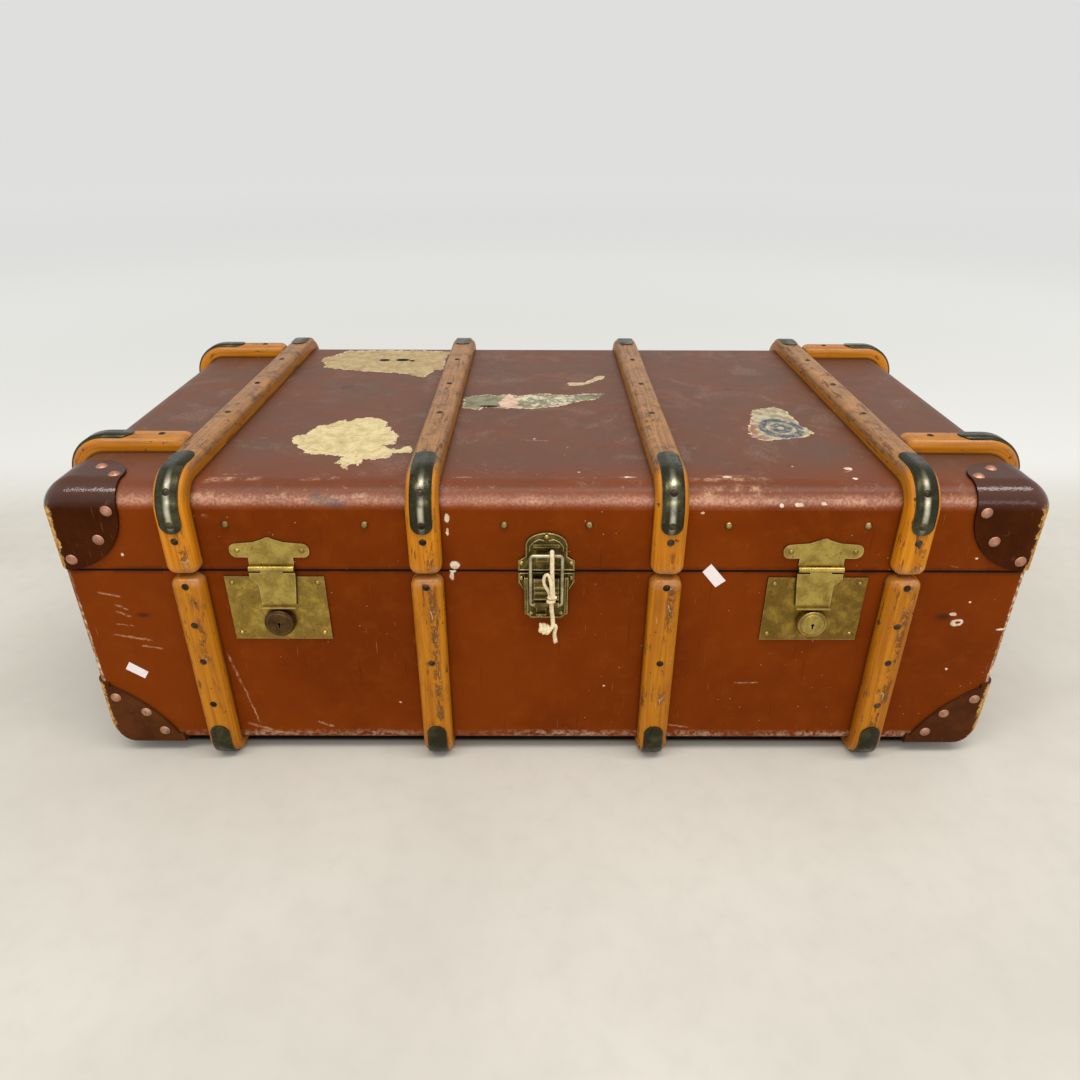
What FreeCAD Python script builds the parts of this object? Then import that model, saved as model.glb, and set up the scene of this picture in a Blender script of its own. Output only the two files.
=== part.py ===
import FreeCAD, Part
import math
import os
import re
import Sketcher

# Flat-topped cabin trunk with bentwood slats, leather corners, two hasp locks and a draw catch.
# Millimetres.  X runs along the trunk, the front faces -Y, Z is up.  The origin lies on the
# floor under the middle of the trunk.

V = FreeCAD.Vector
doc = FreeCAD.newDocument("Trunk")

# ---------------------------------------------------------------------------------------------
# Driving dimensions
# ---------------------------------------------------------------------------------------------
SIZES = [
    # carcass
    ("body_len", 914),         # length of the covered box along X
    ("body_dep", 482),         # depth along Y
    ("base_hgt", 209),         # height of the lower half
    ("lid_hgt", 85),           # height of the lid
    ("wall", 6),               # thickness of the box walls
    ("end_rad", 24),           # rounding of the short edges, lid top and base bottom
    ("lid_rad", 22),           # rounding of the lid's long top edges, never the same as end_rad
    ("foot_rad", 10),          # rounding of the base's long bottom edges
    ("post_rad", 13),          # rounding of the upright edges
    ("inner_rad", 3),          # smallest rounding inside the box
    ("lining_thk", 1),         # paper lining
    ("rim_thk", 5),            # wooden lip inside the mouth of the base
    ("rim_rise", 8),           # how far the lip stands above the seam
    ("rim_seat", 30),          # how far it reaches down inside the base
    ("rim_gap", 1),            # clearance between the lip and the lid
    # slats and their caps
    ("slat_wid", 30),
    ("slat_thk", 15),
    ("slat_inset", 121),       # middle of an outer slat to the end of the box
    ("slat_round", 8),         # rounding of a slat's outer edges
    ("slat_end_rad", 9),       # rounding of a slat's end, seen from the front
    ("slat_seam", 2),          # slat ends to seam at the front and at the ends
    ("slat_back", 16),         # slat ends to seam at the back, room for the hinge's swing
    ("end_slat_wid", 27),
    ("end_slat_front", 146),   # front end slats, ahead of the middle
    ("end_slat_rear", 193),    # rear end slats, behind the middle
    ("cap_wid", 20),
    ("cap_thk", 1.2),
    ("cap_flat", 26),          # straight run of a cap on the lid's top
    ("cap_drop", 17),          # straight run of a cap down the lid's side
    ("foot_cap_rise", 22),     # straight run of a cap up the base's side
    ("foot_cap_turn", 65),     # degrees of the base's bend that a cap covers
    ("nail_dia", 7),
    ("nail_hgt", 1.2),
    # leather corners
    ("leather_thk", 2.5),
    ("corner_len", 69),        # reach along X
    ("corner_dep", 56),        # reach along Y
    ("corner_seam", 1),        # lid corners stop this far above the seam
    ("lobe_rad", 63),          # curved edge of a lid corner's front
    ("side_lobe_rad", 49),     # curved edge of a lid corner's side
    ("foot_corner_len", 76),
    ("foot_corner_hgt", 76),
    ("foot_lobe_rad", 150),    # curved edge of a base corner
    ("foot_leather_rad", 5),   # leather rounding along the base's long bottom edges
    ("rivet_dia", 10.5),
    ("rivet_hgt", 2.6),
    ("stud_dia", 7.5),
    ("stud_hgt", 2.8),
    ("stud_inset", 42),        # outer stud beside the middle of the outer slat
    ("stud_gap", 73),          # inner stud beside the middle of the inner slat
    ("stud_drop", 37),         # studs below the top of the lid
    ("small_dia", 5),          # rivets of the plates, hinges and brackets
    ("small_hgt", 1.8),
    # locks
    ("lock_inset", 79),        # a lock's axis to the middle of the outer slat
    ("lock_wid", 95),
    ("lock_hgt", 71),
    ("lock_thk", 2),
    ("lock_drop", 6),          # top of a lock plate below the seam
    ("lock_axis_drop", 55),    # plug axis below the seam
    ("collar_rad", 14.5),
    ("collar_hgt", 7),
    ("plug_rad", 11.45),
    ("plug_stem_rad", 6),
    ("plug_rise", 0.6),        # plug face ahead of its collar
    ("key_rad", 1.6),
    ("key_slot", 4.6),
    ("case_len", 58),
    ("case_hgt", 34),
    ("case_thk", 12),
    ("pin_rad", 1.5),          # pins of hasps and catch
    ("knuckle_rad", 3),
    ("run_gap", 0.05),         # running clearance of every pin and plug
    ("side_gap", 0.35),        # clearance beside knuckles, lugs and collars
    ("hasp_thk", 1.6),
    ("hasp_rise", 3.5),        # hasp pin above the seam
    ("hasp_neck", 42),
    ("hasp_wing", 74),
    ("wing_low", 11),          # wings start this far above the pin
    ("wing_hgt", 14),
    ("crest_wid", 28),
    ("crest_step", 2),
    ("crest_hgt", 5.5),
    ("crest_nose", 8),
    ("crest_rad", 6),
    ("knuckle_share", 0.48),   # share of the neck that the flap's knuckle takes
    ("hasp_len", 41.5),        # flap from pin to lip
    ("flap_drop", 3.4),        # flap starts this far below the pin
    ("flap_out", 22),          # from the lock's axis to the outer edge
    ("flap_in", 14),           # and to the inner edge below its step
    ("flap_step", 7),
    ("flap_shoulder", 13),
    ("flap_taper", 4),
    ("flap_bend", 20),
    ("lip_rise", 3),
    ("staple_low", 6),
    ("staple_len", 10),
    ("staple_wid", 10),
    # draw catch
    ("catch_thk", 2),
    ("catch_ear", 53),
    ("catch_wid", 41),
    ("catch_hgt", 51),
    ("catch_seam", 1),         # plates stop this far off the seam
    ("catch_chamfer", 6),
    ("ear_hgt", 11),
    ("ear_taper", 9),
    ("lug_hgt", 10),
    ("keeper_hgt", 42),
    ("keeper_arch", 13),
    ("lever_wid", 23.6),
    ("lever_thk", 1.6),
    ("barrel_rad", 3.2),
    ("bead_rad", 0.9),
    ("tab_wid", 9.5),          # thumb tab below the eye
    ("tab_drop", 11),
    ("pivot_drop", 8),         # lever pin below the seam
    ("eye_drop", 32),          # bail eye below the seam
    ("bail_rad", 1.8),         # bail wire
    ("bail_wid", 29.4),        # between the centres of the bail's arms
    ("bail_rise", 21),         # bail's top bar above the seam
    ("string_rad", 2.1),
    ("string_x", 5.3),         # the hanging strand, right of the middle
    ("knot_drop", 25),         # small knot below the seam
    ("knot_rad", 4.9),
    ("knot_flat", 4),
    ("knot_hgt", 9),
    ("loop_wid", 6),           # loop beside the strand
    ("loop_len", 19),
    ("end_knot_drop", 58),     # end knot below the seam
    ("end_knot_wid", 21),
    ("end_knot_dep", 12),
    ("end_knot_hgt", 12.5),
    ("end_knot_round", 4),
    ("tail_side", 4),          # tail right of the end knot's middle
    ("tail_len", 12),
    # hinges
    ("hinge_wid", 50),
    ("hinge_hgt", 38),
    ("hinge_thk", 2),
    ("hinge_knuckle", 3.5),
    ("hinge_pin", 1.75),
    # end handles
    ("handle_x_gap", 9.5),     # handle pivot off the end face
    ("handle_drop", 70),       # handle pivot below the seam
    ("handle_span", 150),
    ("handle_wid", 22),
    ("handle_thk", 8),
    ("handle_straight", 16),   # straight run of a handle below its pivot
    ("handle_sag", 34),
    ("handle_pin", 3.5),
    ("handle_eye", 6),
    ("lug_thk", 3),
    ("bracket_wid", 44),
    ("bracket_hgt", 36),
    ("bracket_thk", 2.5),
]

# Places and sizes that follow from the driving dimensions.
DERIVED = {
    "half_len": "body_len/2",
    "half_dep": "body_dep/2",
    "floor_z": "slat_thk",
    "seam_z": "(slat_thk + base_hgt)",
    "top_z": "(slat_thk + base_hgt + lid_hgt)",
    "slat_pitch": "((body_len - 2*slat_inset)/3)",
    "outer_slat_x": "(body_len/2 - slat_inset + slat_wid/2)",
    "lock_x": "(body_len/2 - slat_inset - lock_inset)",
    "hinge_y": "(body_dep/2 + hinge_knuckle + side_gap)",
    "hasp_pin_y": "(-body_dep/2 - knuckle_rad - side_gap)",
    "hasp_pin_z": "(slat_thk + base_hgt + hasp_rise)",
    "lock_axis_z": "(slat_thk + base_hgt - lock_axis_drop)",
    "lever_y": "(-body_dep/2 - catch_thk - barrel_rad - 2*side_gap)",
    "lever_z": "(slat_thk + base_hgt - pivot_drop)",
    "bail_y": "(-body_dep/2 - catch_thk - barrel_rad - 2*side_gap - pin_rad - bail_rad - side_gap)",
    "eye_z": "(slat_thk + base_hgt - eye_drop)",
    "handle_z": "(slat_thk + base_hgt - handle_drop)",
}

sheet = doc.addObject("Spreadsheet::Sheet", "Sizes")
for row, (alias, size) in enumerate(SIZES, 1):
    sheet.set("A%d" % row, alias)
    sheet.set("B%d" % row, str(size))
    sheet.setAlias("B%d" % row, alias)
doc.recompute()
ALIASES = {alias for alias, size in SIZES}


def formula(text):
    """Turn a formula in the names above into an expression on the spreadsheet."""
    def swap(match):
        word = match.group()
        if word in DERIVED:
            return "(" + formula(DERIVED[word]) + ")"
        return "Sizes." + word if word in ALIASES else word
    return re.sub(r"[a-z][a-z_0-9]*", swap, str(text))


def number(text):
    """The present value of a formula."""
    return float(sheet.evalExpression(formula(text)))


def bind(item, prop, text):
    item.setExpression(prop, formula(text))


# ---------------------------------------------------------------------------------------------
# Sketches and features
# ---------------------------------------------------------------------------------------------
XY, XZ, YZ = "XY_Plane", "XZ_Plane", "YZ_Plane"
FRONT, REAR, UP = V(0, -1, 0), V(0, 1, 0), V(0, 0, 1)
SIDES = (("left", -1), ("right", 1))


def new_body(label):
    body = doc.addObject("PartDesign::Body", label)
    body.Label = label
    return body


def new_sketch(body, plane, offset):
    sketch = body.newObject("Sketcher::SketchObject", body.Name + "_sketch")
    support = [item for item in body.Origin.OriginFeatures if item.Role == plane][0]
    sketch.AttachmentSupport = [(support, "")]
    sketch.MapMode = "FlatFace"
    bind(sketch, "AttachmentOffset.Base.z", offset)
    return sketch


def pin_point(sketch, geometry, end, x, y):
    """Hold one end of a sketch edge at the place that two formulas give."""
    for kind, text in (("DistanceX", x), ("DistanceY", y)):
        index = sketch.addConstraint(Sketcher.Constraint(kind, geometry, end, number(text)))
        bind(sketch, "Constraints[%d]" % index, text)


def arc_between(start, stop, radius):
    """Arc from start to stop; a positive radius turns left, a negative one right."""
    chord = stop - start
    half = chord.Length / 2
    rise = math.sqrt(max(radius * radius - half * half, 0))
    left = V(-chord.y, chord.x, 0).normalize()
    centre = start + chord * 0.5 + left * (rise if radius > 0 else -rise)
    first, last = (start, stop) if radius > 0 else (stop, start)
    angles = [math.atan2(point.y - centre.y, point.x - centre.x) for point in (first, last)]
    return Part.ArcOfCircle(Part.Circle(centre, V(0, 0, 1), abs(radius)), angles[0], angles[1])


def draw_outline(sketch, corners):
    """Closed outline through corners (x, y) or (x, y, r), all formulas.

    r is the radius of the arc that runs on to the next corner, positive for a left turn.
    """
    points = [V(number(corner[0]), number(corner[1]), 0) for corner in corners]
    ends = []
    for index, corner in enumerate(corners):
        start, stop = points[index], points[(index + 1) % len(points)]
        if len(corner) == 2:
            edge = sketch.addGeometry(Part.LineSegment(start, stop))
            ends.append((edge, 1, 2))
            continue
        radius = number(corner[2])
        edge = sketch.addGeometry(arc_between(start, stop, radius))
        ends.append((edge, 1, 2) if radius > 0 else (edge, 2, 1))
        limit = sketch.addConstraint(Sketcher.Constraint("Radius", edge, abs(radius)))
        bind(sketch, "Constraints[%d]" % limit, "abs(%s)" % corner[2])
    for index, (edge, begin, finish) in enumerate(ends):
        following, follow_begin, _ = ends[(index + 1) % len(ends)]
        sketch.addConstraint(Sketcher.Constraint("Coincident", edge, finish, following, follow_begin))
        pin_point(sketch, edge, begin, corners[index][0], corners[index][1])


def draw_circle(sketch, x, y, radius):
    edge = sketch.addGeometry(Part.Circle(V(number(x), number(y), 0), V(0, 0, 1), number(radius)))
    pin_point(sketch, edge, 3, x, y)
    limit = sketch.addConstraint(Sketcher.Constraint("Radius", edge, number(radius)))
    bind(sketch, "Constraints[%d]" % limit, radius)


def pad(body, plane, offset, length, corners=(), circles=(), back=False):
    """Pad an outline and its round holes, along the plane's normal or back from it."""
    sketch = new_sketch(body, plane, offset)
    if corners:
        draw_outline(sketch, corners)
    for x, y, radius in circles:
        draw_circle(sketch, x, y, radius)
    feature = body.newObject("PartDesign::Pad", body.Name + "_pad")
    feature.Profile = sketch
    feature.Reversed = back
    bind(feature, "Length", length)
    doc.recompute()
    return feature


def round_edges(body, radius, wanted):
    """Fillet the body's edges that the test picks."""
    tip = body.Tip
    names = ["Edge%d" % index for index, edge in enumerate(tip.Shape.Edges, 1) if wanted(edge)]
    feature = body.newObject("PartDesign::Fillet", body.Name + "_fillet")
    feature.Base = (tip, names)
    bind(feature, "Radius", radius)
    doc.recompute()
    return feature


TOUCH = 1e-3         # two places closer than this are one place


def along(edge, axis):
    """Is the edge a straight line along the axis (0, 1 or 2)?"""
    box = edge.BoundBox
    spans = [box.XLength, box.YLength, box.ZLength]
    others = [span for index, span in enumerate(spans) if index != axis]
    return spans[axis] > TOUCH and max(others) < TOUCH


def middle(edge):
    return edge.valueAt((edge.FirstParameter + edge.LastParameter) / 2)


def rectangle(x0, x1, y0, y1):
    return [(x0, y0), (x1, y0), (x1, y1), (x0, y1)]


def boolean(kind, label, *parts):
    """A Part boolean: Cut takes a base and a tool, MultiFuse and MultiCommon take any number."""
    item = doc.addObject("Part::" + kind, label)
    item.Label = label
    if kind == "Cut":
        item.Base, item.Tool = parts
    else:
        item.Shapes = list(parts)
    item.Refine = True
    doc.recompute()
    return item


def box(label, x, y, z, dx, dy, dz):
    """Part::Box from its low corner and its three sides, all formulas."""
    item = doc.addObject("Part::Box", label)
    for prop, text in (("Length", dx), ("Width", dy), ("Height", dz)):
        bind(item, prop, text)
    for axis, text in (("x", x), ("y", y), ("z", z)):
        bind(item, "Placement.Base." + axis, text)
    return item


def rounded_block(label, grow, low, high, end, long, post, up):
    """Block centred on X and Y whose edges are rounded: the short ones (end) and long ones (long)
    at the top or the bottom, and the upright ones (post).  grow adds to all four sides."""
    block = box(label + "_block", "-half_len - (%s)" % grow, "-half_dep - (%s)" % grow, low,
                "body_len + 2*(%s)" % grow, "body_dep + 2*(%s)" % grow, "(%s) - (%s)" % (high, low))
    doc.recompute()
    level = number(high) if up else number(low)
    rounding = doc.addObject("Part::Fillet", label)
    rounding.Label = label
    rounding.Base = block
    picks = []
    for index, edge in enumerate(block.Shape.Edges, 1):
        at_level = abs(middle(edge).z - level) < TOUCH
        if along(edge, 2):
            picks.append((index, number(post), number(post)))
        elif along(edge, 1) and at_level:
            picks.append((index, number(end), number(end)))
        elif along(edge, 0) and at_level:
            picks.append((index, number(long), number(long)))
    rounding.Edges = picks
    doc.recompute()
    return rounding


def mirrored(label, source, normal):
    item = doc.addObject("Part::Mirroring", label)
    item.Label = label
    item.Source = source
    item.Normal = normal
    doc.recompute()
    return item


def compound(label, parts):
    item = doc.addObject("Part::Compound", label)
    item.Label = label
    item.Links = parts
    doc.recompute()
    return item


def feature(label, shape):
    """A Part::Feature that holds a shape worked out below."""
    item = doc.addObject("Part::Feature", label)
    item.Label = label
    item.Shape = shape
    return item


NODES = []


def node(item):
    NODES.append(item)
    return item


# ---------------------------------------------------------------------------------------------
# Box halves
# ---------------------------------------------------------------------------------------------
def inner_round(outer):
    return "max(inner_rad; %s - wall)" % outer


def build_lid_box():
    outer = rounded_block("lid_outer", "0", "seam_z", "top_z", "end_rad", "lid_rad", "post_rad", True)
    inner = rounded_block("lid_inner", "-wall", "seam_z - 1", "top_z - wall",
                          inner_round("end_rad"), inner_round("lid_rad"), "inner_rad", True)
    node(boolean("Cut", "lid_shell", outer, inner))
    bottom = "seam_z + rim_rise + 2*rim_gap"
    sheet_out = rounded_block("lid_paper_out", "-wall", bottom, "top_z - wall",
                              inner_round("end_rad"), inner_round("lid_rad"), "inner_rad", True)
    sheet_in = rounded_block("lid_paper_in", "-wall - lining_thk", bottom + " - 1",
                             "top_z - wall - lining_thk",
                             inner_round("end_rad") + " - lining_thk",
                             inner_round("lid_rad") + " - lining_thk",
                             "inner_rad - lining_thk", True)
    node(boolean("Cut", "lid_lining", sheet_out, sheet_in))
    return outer


def build_base_box():
    outer = rounded_block("base_outer", "0", "floor_z", "seam_z", "end_rad", "foot_rad", "post_rad", False)
    inner = rounded_block("base_inner", "-wall", "floor_z + wall", "seam_z + 1",
                          inner_round("end_rad"), inner_round("foot_rad"), "inner_rad", False)
    holes = []
    for side, sign in SIDES:
        hole = doc.addObject("Part::Cylinder", "stem_hole_" + side)
        bind(hole, "Radius", "plug_stem_rad + 2")
        bind(hole, "Height", "2*wall")
        hole.Placement = FreeCAD.Placement(V(0, 0, 0), FreeCAD.Rotation(V(1, 0, 0), 90))
        bind(hole, "Placement.Base.x", "%d*lock_x" % sign)
        bind(hole, "Placement.Base.y", "-half_dep + 1.5*wall")
        bind(hole, "Placement.Base.z", "lock_axis_z")
        holes.append(hole)
    node(boolean("Cut", "base_shell", outer, boolean("MultiFuse", "base_hollow", inner, *holes)))

    top = "seam_z - rim_seat"
    sheet_out = rounded_block("base_paper_out", "-wall", "floor_z + wall", top,
                              inner_round("end_rad"), inner_round("foot_rad"), "inner_rad", False)
    sheet_in = rounded_block("base_paper_in", "-wall - lining_thk", "floor_z + wall + lining_thk",
                             top + " + 1", inner_round("end_rad") + " - lining_thk",
                             inner_round("foot_rad") + " - lining_thk",
                             "inner_rad - lining_thk", False)
    gaps = [box("case_window_" + side, "%d*lock_x - case_len/2 - side_gap" % sign,
                "-half_dep + wall/2", "lock_axis_z - case_hgt/2 - side_gap",
                "case_len + 2*side_gap", "wall", "case_hgt + 2*side_gap") for side, sign in SIDES]
    doc.recompute()
    node(boolean("Cut", "base_lining", sheet_out, boolean("MultiFuse", "paper_hollow", sheet_in, *gaps)))
    return outer


def build_rim():
    body = new_body("base_rim")
    in_x, in_y = "half_len - wall", "half_dep - wall"

    def ring(low, height, gap):
        sketch = new_sketch(body, XY, low)
        draw_outline(sketch, rectangle("-(%s - %s)" % (in_x, gap), "%s - %s" % (in_x, gap),
                                       "-(%s - %s)" % (in_y, gap), "%s - %s" % (in_y, gap)))
        draw_outline(sketch, rectangle("-(%s - rim_thk)" % in_x, in_x + " - rim_thk",
                                       "-(%s - rim_thk)" % in_y, in_y + " - rim_thk"))
        padding = body.newObject("PartDesign::Pad", "rim_pad")
        padding.Profile = sketch
        bind(padding, "Length", height)
        doc.recompute()
        reach = number(in_x) - number(gap)
        round_edges(body, "inner_rad", lambda edge: along(edge, 2) and abs(abs(middle(edge).x) - reach) < TOUCH)

    ring("seam_z - rim_seat", "rim_seat", "0")
    ring("seam_z", "rim_rise", "rim_gap")
    node(body)


# ---------------------------------------------------------------------------------------------
# Slats
# ---------------------------------------------------------------------------------------------
def slat_places():
    """The four long slats: number and the formula of the middle."""
    return [(index + 1, "%s*slat_pitch" % step) for index, step in enumerate(("-1.5", "-0.5", "0.5", "1.5"))]


def skin_edges(axis, bend, up):
    """Test for the edges round a bent slat's outer face; the slat runs along the axis (0 or 1)."""
    reach = number("half_len" if axis == 0 else "half_dep")
    radius, thick = number(bend), number("slat_thk")
    level, way = (number("top_z"), 1) if up else (number("floor_z"), -1)

    def wanted(edge):
        point = middle(edge)
        out = abs(point.x if axis == 0 else point.y) - reach + radius
        rise = way * (point.z - level) + radius
        return abs(math.hypot(max(out, 0), max(rise, 0)) - radius - thick) < TOUCH
    return wanted


def round_slat(body, axis, bend, up):
    """Round a slat's ends as seen from outside, then every edge of its outer face."""
    thick = number("slat_thk")
    round_edges(body, "slat_end_rad", lambda edge: abs(edge.Length - thick) < TOUCH)
    round_edges(body, "slat_round", skin_edges(axis, bend, up))


def build_lid_slats():
    front, rear = "(-half_dep)", "half_dep"
    for index, place in slat_places():
        body = new_body("lid_slat_%d" % index)
        pad(body, YZ, place + " - slat_wid/2", "slat_wid", [
            (front + " - slat_thk", "seam_z + slat_seam"),
            (front, "seam_z + slat_seam"),
            (front, "top_z - lid_rad", "-lid_rad"),
            (front + " + lid_rad", "top_z"),
            (rear + " - lid_rad", "top_z", "-lid_rad"),
            (rear, "top_z - lid_rad"),
            (rear, "seam_z + slat_back"),
            (rear + " + slat_thk", "seam_z + slat_back"),
            (rear + " + slat_thk", "top_z - lid_rad", "lid_rad + slat_thk"),
            (rear + " - lid_rad", "top_z + slat_thk"),
            (front + " + lid_rad", "top_z + slat_thk", "lid_rad + slat_thk"),
            (front + " - slat_thk", "top_z - lid_rad"),
        ])
        round_slat(body, 1, "lid_rad", True)
        node(body)


def build_base_slats():
    front, rear = "(-half_dep)", "half_dep"
    for index, place in slat_places():
        body = new_body("base_slat_%d" % index)
        pad(body, YZ, place + " - slat_wid/2", "slat_wid", [
            (front, "seam_z - slat_seam"),
            (front + " - slat_thk", "seam_z - slat_seam"),
            (front + " - slat_thk", "floor_z + foot_rad", "foot_rad + slat_thk"),
            (front + " + foot_rad", "0"),
            (rear + " - foot_rad", "0", "foot_rad + slat_thk"),
            (rear + " + slat_thk", "floor_z + foot_rad"),
            (rear + " + slat_thk", "seam_z - slat_back"),
            (rear, "seam_z - slat_back"),
            (rear, "floor_z + foot_rad", "-foot_rad"),
            (rear + " - foot_rad", "floor_z"),
            (front + " + foot_rad", "floor_z", "-foot_rad"),
            (front, "floor_z + foot_rad"),
        ])
        round_slat(body, 1, "foot_rad", False)
        node(body)


def build_end_slats(half, top):
    """Short slats round the short edges: two at each end of the lid or the base."""
    face, skin, stop = ("top_z", "top_z + slat_thk", "seam_z + slat_seam") if top else (
        "floor_z", "0", "seam_z - slat_seam")
    bend = "top_z - end_rad" if top else "floor_z + end_rad"
    for side, sign in SIDES:
        turn = sign if top else -sign
        pair = []
        for row, y in (("front", "-end_slat_front"), ("rear", "end_slat_rear")):
            body = new_body("%s_end_slat_%s_%s" % (half, side, row))
            pad(body, XZ, "-(%s) - end_slat_wid/2" % y, "end_slat_wid", [
                ("%d*outer_slat_x" % sign, skin),
                ("%d*outer_slat_x" % sign, face),
                ("%d*(half_len - end_rad)" % sign, face, "%d*end_rad" % -turn),
                ("%d*half_len" % sign, bend),
                ("%d*half_len" % sign, stop),
                ("%d*(half_len + slat_thk)" % sign, stop),
                ("%d*(half_len + slat_thk)" % sign, bend, "%d*(end_rad + slat_thk)" % turn),
                ("%d*(half_len - end_rad)" % sign, skin),
            ])
            round_slat(body, 0, "end_rad", top)
            pair.append(body)
        node(compound("%s_end_slats_%s" % (half, side), pair))


END_FLAT = 0.1       # half of the flat left between the two roundings of a strip's end


def bent_strip(label, wide, low, high, drop, flat):
    """Strip between two radii round the X axis: down along -Z at -Y, and along +Y at the top.

    Where flat is None the strip stops partway round the bend.
    """
    body = new_body(label)
    ending = [("0", low), (flat, low), (flat, high), ("0", high, high)]
    if flat is None:
        turn = "foot_cap_turn*1deg"
        ending = [("-%s*cos(%s)" % (low, turn), "%s*sin(%s)" % (low, turn)),
                  ("-%s*cos(%s)" % (high, turn), "%s*sin(%s)" % (high, turn), high)]
    pad(body, YZ, "-(%s)/2" % wide, wide, [
        ("-" + high, "-(%s)" % drop),
        ("-" + low, "-(%s)" % drop),
        ("-" + low, "0", "-" + low),
    ] + ending + [("-" + high, "0")])
    return body


def build_cap(label, wide, bend, drop, flat):
    """A cap of a slat: a strip bent round the slat's corner and over its rounded edges, at X = 0.

    The bend's centre is the origin.
    """
    face = "(%s + slat_thk)" % bend
    long_flat = "slat_wid" if flat is None else flat + " + slat_thk"
    layers = []
    for name, low, grow in (("_grown", bend, "cap_thk"), ("_core", "(%s/2)" % bend, "0")):
        high = "(%s + %s)" % (face, grow)
        bar = bent_strip(label + name, "%s + 2*%s" % (wide, grow), low, high, drop + " + slat_thk", long_flat)
        reach = number(high)
        round_edges(bar, "slat_round + " + grow, lambda edge: edge.BoundBox.XLength < TOUCH
                    and abs(math.hypot(min(middle(edge).y, 0), max(middle(edge).z, 0)) - reach) < TOUCH)
        layers.append(bar)
    low, high = "(%s - slat_thk/2)" % face, "(%s + 2*cap_thk)" % face
    region = bent_strip(label + "_region", "cap_wid", low, high, drop, flat)
    thick = number("%s - %s" % (high, low))
    round_edges(region, "cap_wid/2 - %s" % END_FLAT, lambda edge: abs(edge.Length - thick) < TOUCH
                and (flat is not None or middle(edge).z < 0))
    return boolean("MultiCommon", label, boolean("Cut", label + "_skin", *layers), region)


def turned(shape, angle, move, axis=UP):
    """A copy turned about an axis through the origin and moved."""
    copy = shape.copy()
    copy.rotate(V(0, 0, 0), axis, angle)
    copy.translate(move)
    return copy


def build_caps():
    half_len, half_dep = number("half_len"), number("half_dep")
    lid_cap = build_cap("lid_cap", "slat_wid", "lid_rad", "cap_drop", "cap_flat").Shape
    end_cap = build_cap("end_cap", "end_slat_wid", "end_rad", "cap_drop", "cap_flat").Shape
    foot_cap = build_cap("foot_cap", "slat_wid", "foot_rad", "foot_cap_rise", None).Shape
    foot_cap = turned(foot_cap, 180, V(0, 0, 0), V(0, 1, 0))
    lid_y, lid_z = half_dep - number("lid_rad"), number("top_z - lid_rad")
    foot_y, foot_z = half_dep - number("foot_rad"), number("floor_z + foot_rad")
    end_x, end_z = half_len - number("end_rad"), number("top_z - end_rad")
    places = [number(place) for index, place in slat_places()]
    rows = (-number("end_slat_front"), number("end_slat_rear"))
    node(feature("lid_slat_caps", Part.makeCompound(
        [turned(lid_cap, 0, V(x, -lid_y, lid_z)) for x in places]
        + [turned(lid_cap, 180, V(x, lid_y, lid_z)) for x in places])))
    node(feature("base_slat_caps", Part.makeCompound(
        [turned(foot_cap, 0, V(x, -foot_y, foot_z)) for x in places]
        + [turned(foot_cap, 180, V(x, foot_y, foot_z)) for x in places])))
    node(feature("lid_end_caps", Part.makeCompound(
        [turned(end_cap, -90, V(-end_x, y, end_z)) for y in rows]
        + [turned(end_cap, 90, V(end_x, y, end_z)) for y in rows])))


# ---------------------------------------------------------------------------------------------
# Domed heads: nails, rivets and studs
# ---------------------------------------------------------------------------------------------
def head(point, normal, diameter, height):
    """A domed head whose flat side lies at the point, facing along the normal."""
    half = diameter / 2
    radius = (half * half + height * height) / (2 * height)
    rim = V(half, 0, 0)
    crown = V(0, 0, height)
    angle = math.atan2(half, radius - height) / 2
    between = V(radius * math.sin(angle), 0, radius * math.cos(angle) - (radius - height))
    profile = Part.Wire([Part.makeLine(V(0, 0, 0), rim),
                         Part.Arc(rim, between, crown).toShape(),
                         Part.makeLine(crown, V(0, 0, 0))])
    dome = Part.Face(profile).revolve(V(0, 0, 0), V(0, 0, 1), 360)
    dome.Placement = FreeCAD.Placement(point, FreeCAD.Rotation(V(0, 0, 1), normal))
    return dome


def heads(label, spots, kind):
    diameter, height = number(kind + "_dia"), number(kind + "_hgt")
    node(feature(label, Part.makeCompound([head(point, normal, diameter, height) for point, normal in spots])))


def all_sides(spots):
    """The front right corner's spots at all four corners, less those that the rear end slats cover."""
    slat_end = number("end_slat_rear + end_slat_wid/2 + rivet_dia/2 + 1")
    result = []
    for point, normal in spots:
        for x in (1, -1):
            for y in (1, -1):
                place = V(x * point.x, y * point.y, point.z)
                if place.y < 0 or place.y > slat_end:
                    result.append((place, V(x * normal.x, y * normal.y, normal.z)))
    return result


def on_bend(centre, radius, angle, point_x, out):
    """Spot on a rounded long edge: angle degrees from the top, out is -1 or 1 along Y."""
    lean = math.radians(angle)
    normal = V(0, out * math.sin(lean), math.cos(lean))
    return V(point_x, centre.y, centre.z) + normal * radius, normal


# Nail rows, measured from the box: along the lid's top, and down from the seam on the base.
TOP_NAILS = (-82, 19, 120)
OUTER_SLAT_NAILS = (10, 53, 96, 149)
INNER_SLAT_NAILS = (10, 97)
CAP_NAIL_LEAN = 55
CAP_NAIL_DROP = 9
UNDER_CAP = 8
END_NAIL_RISE = 12


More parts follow.
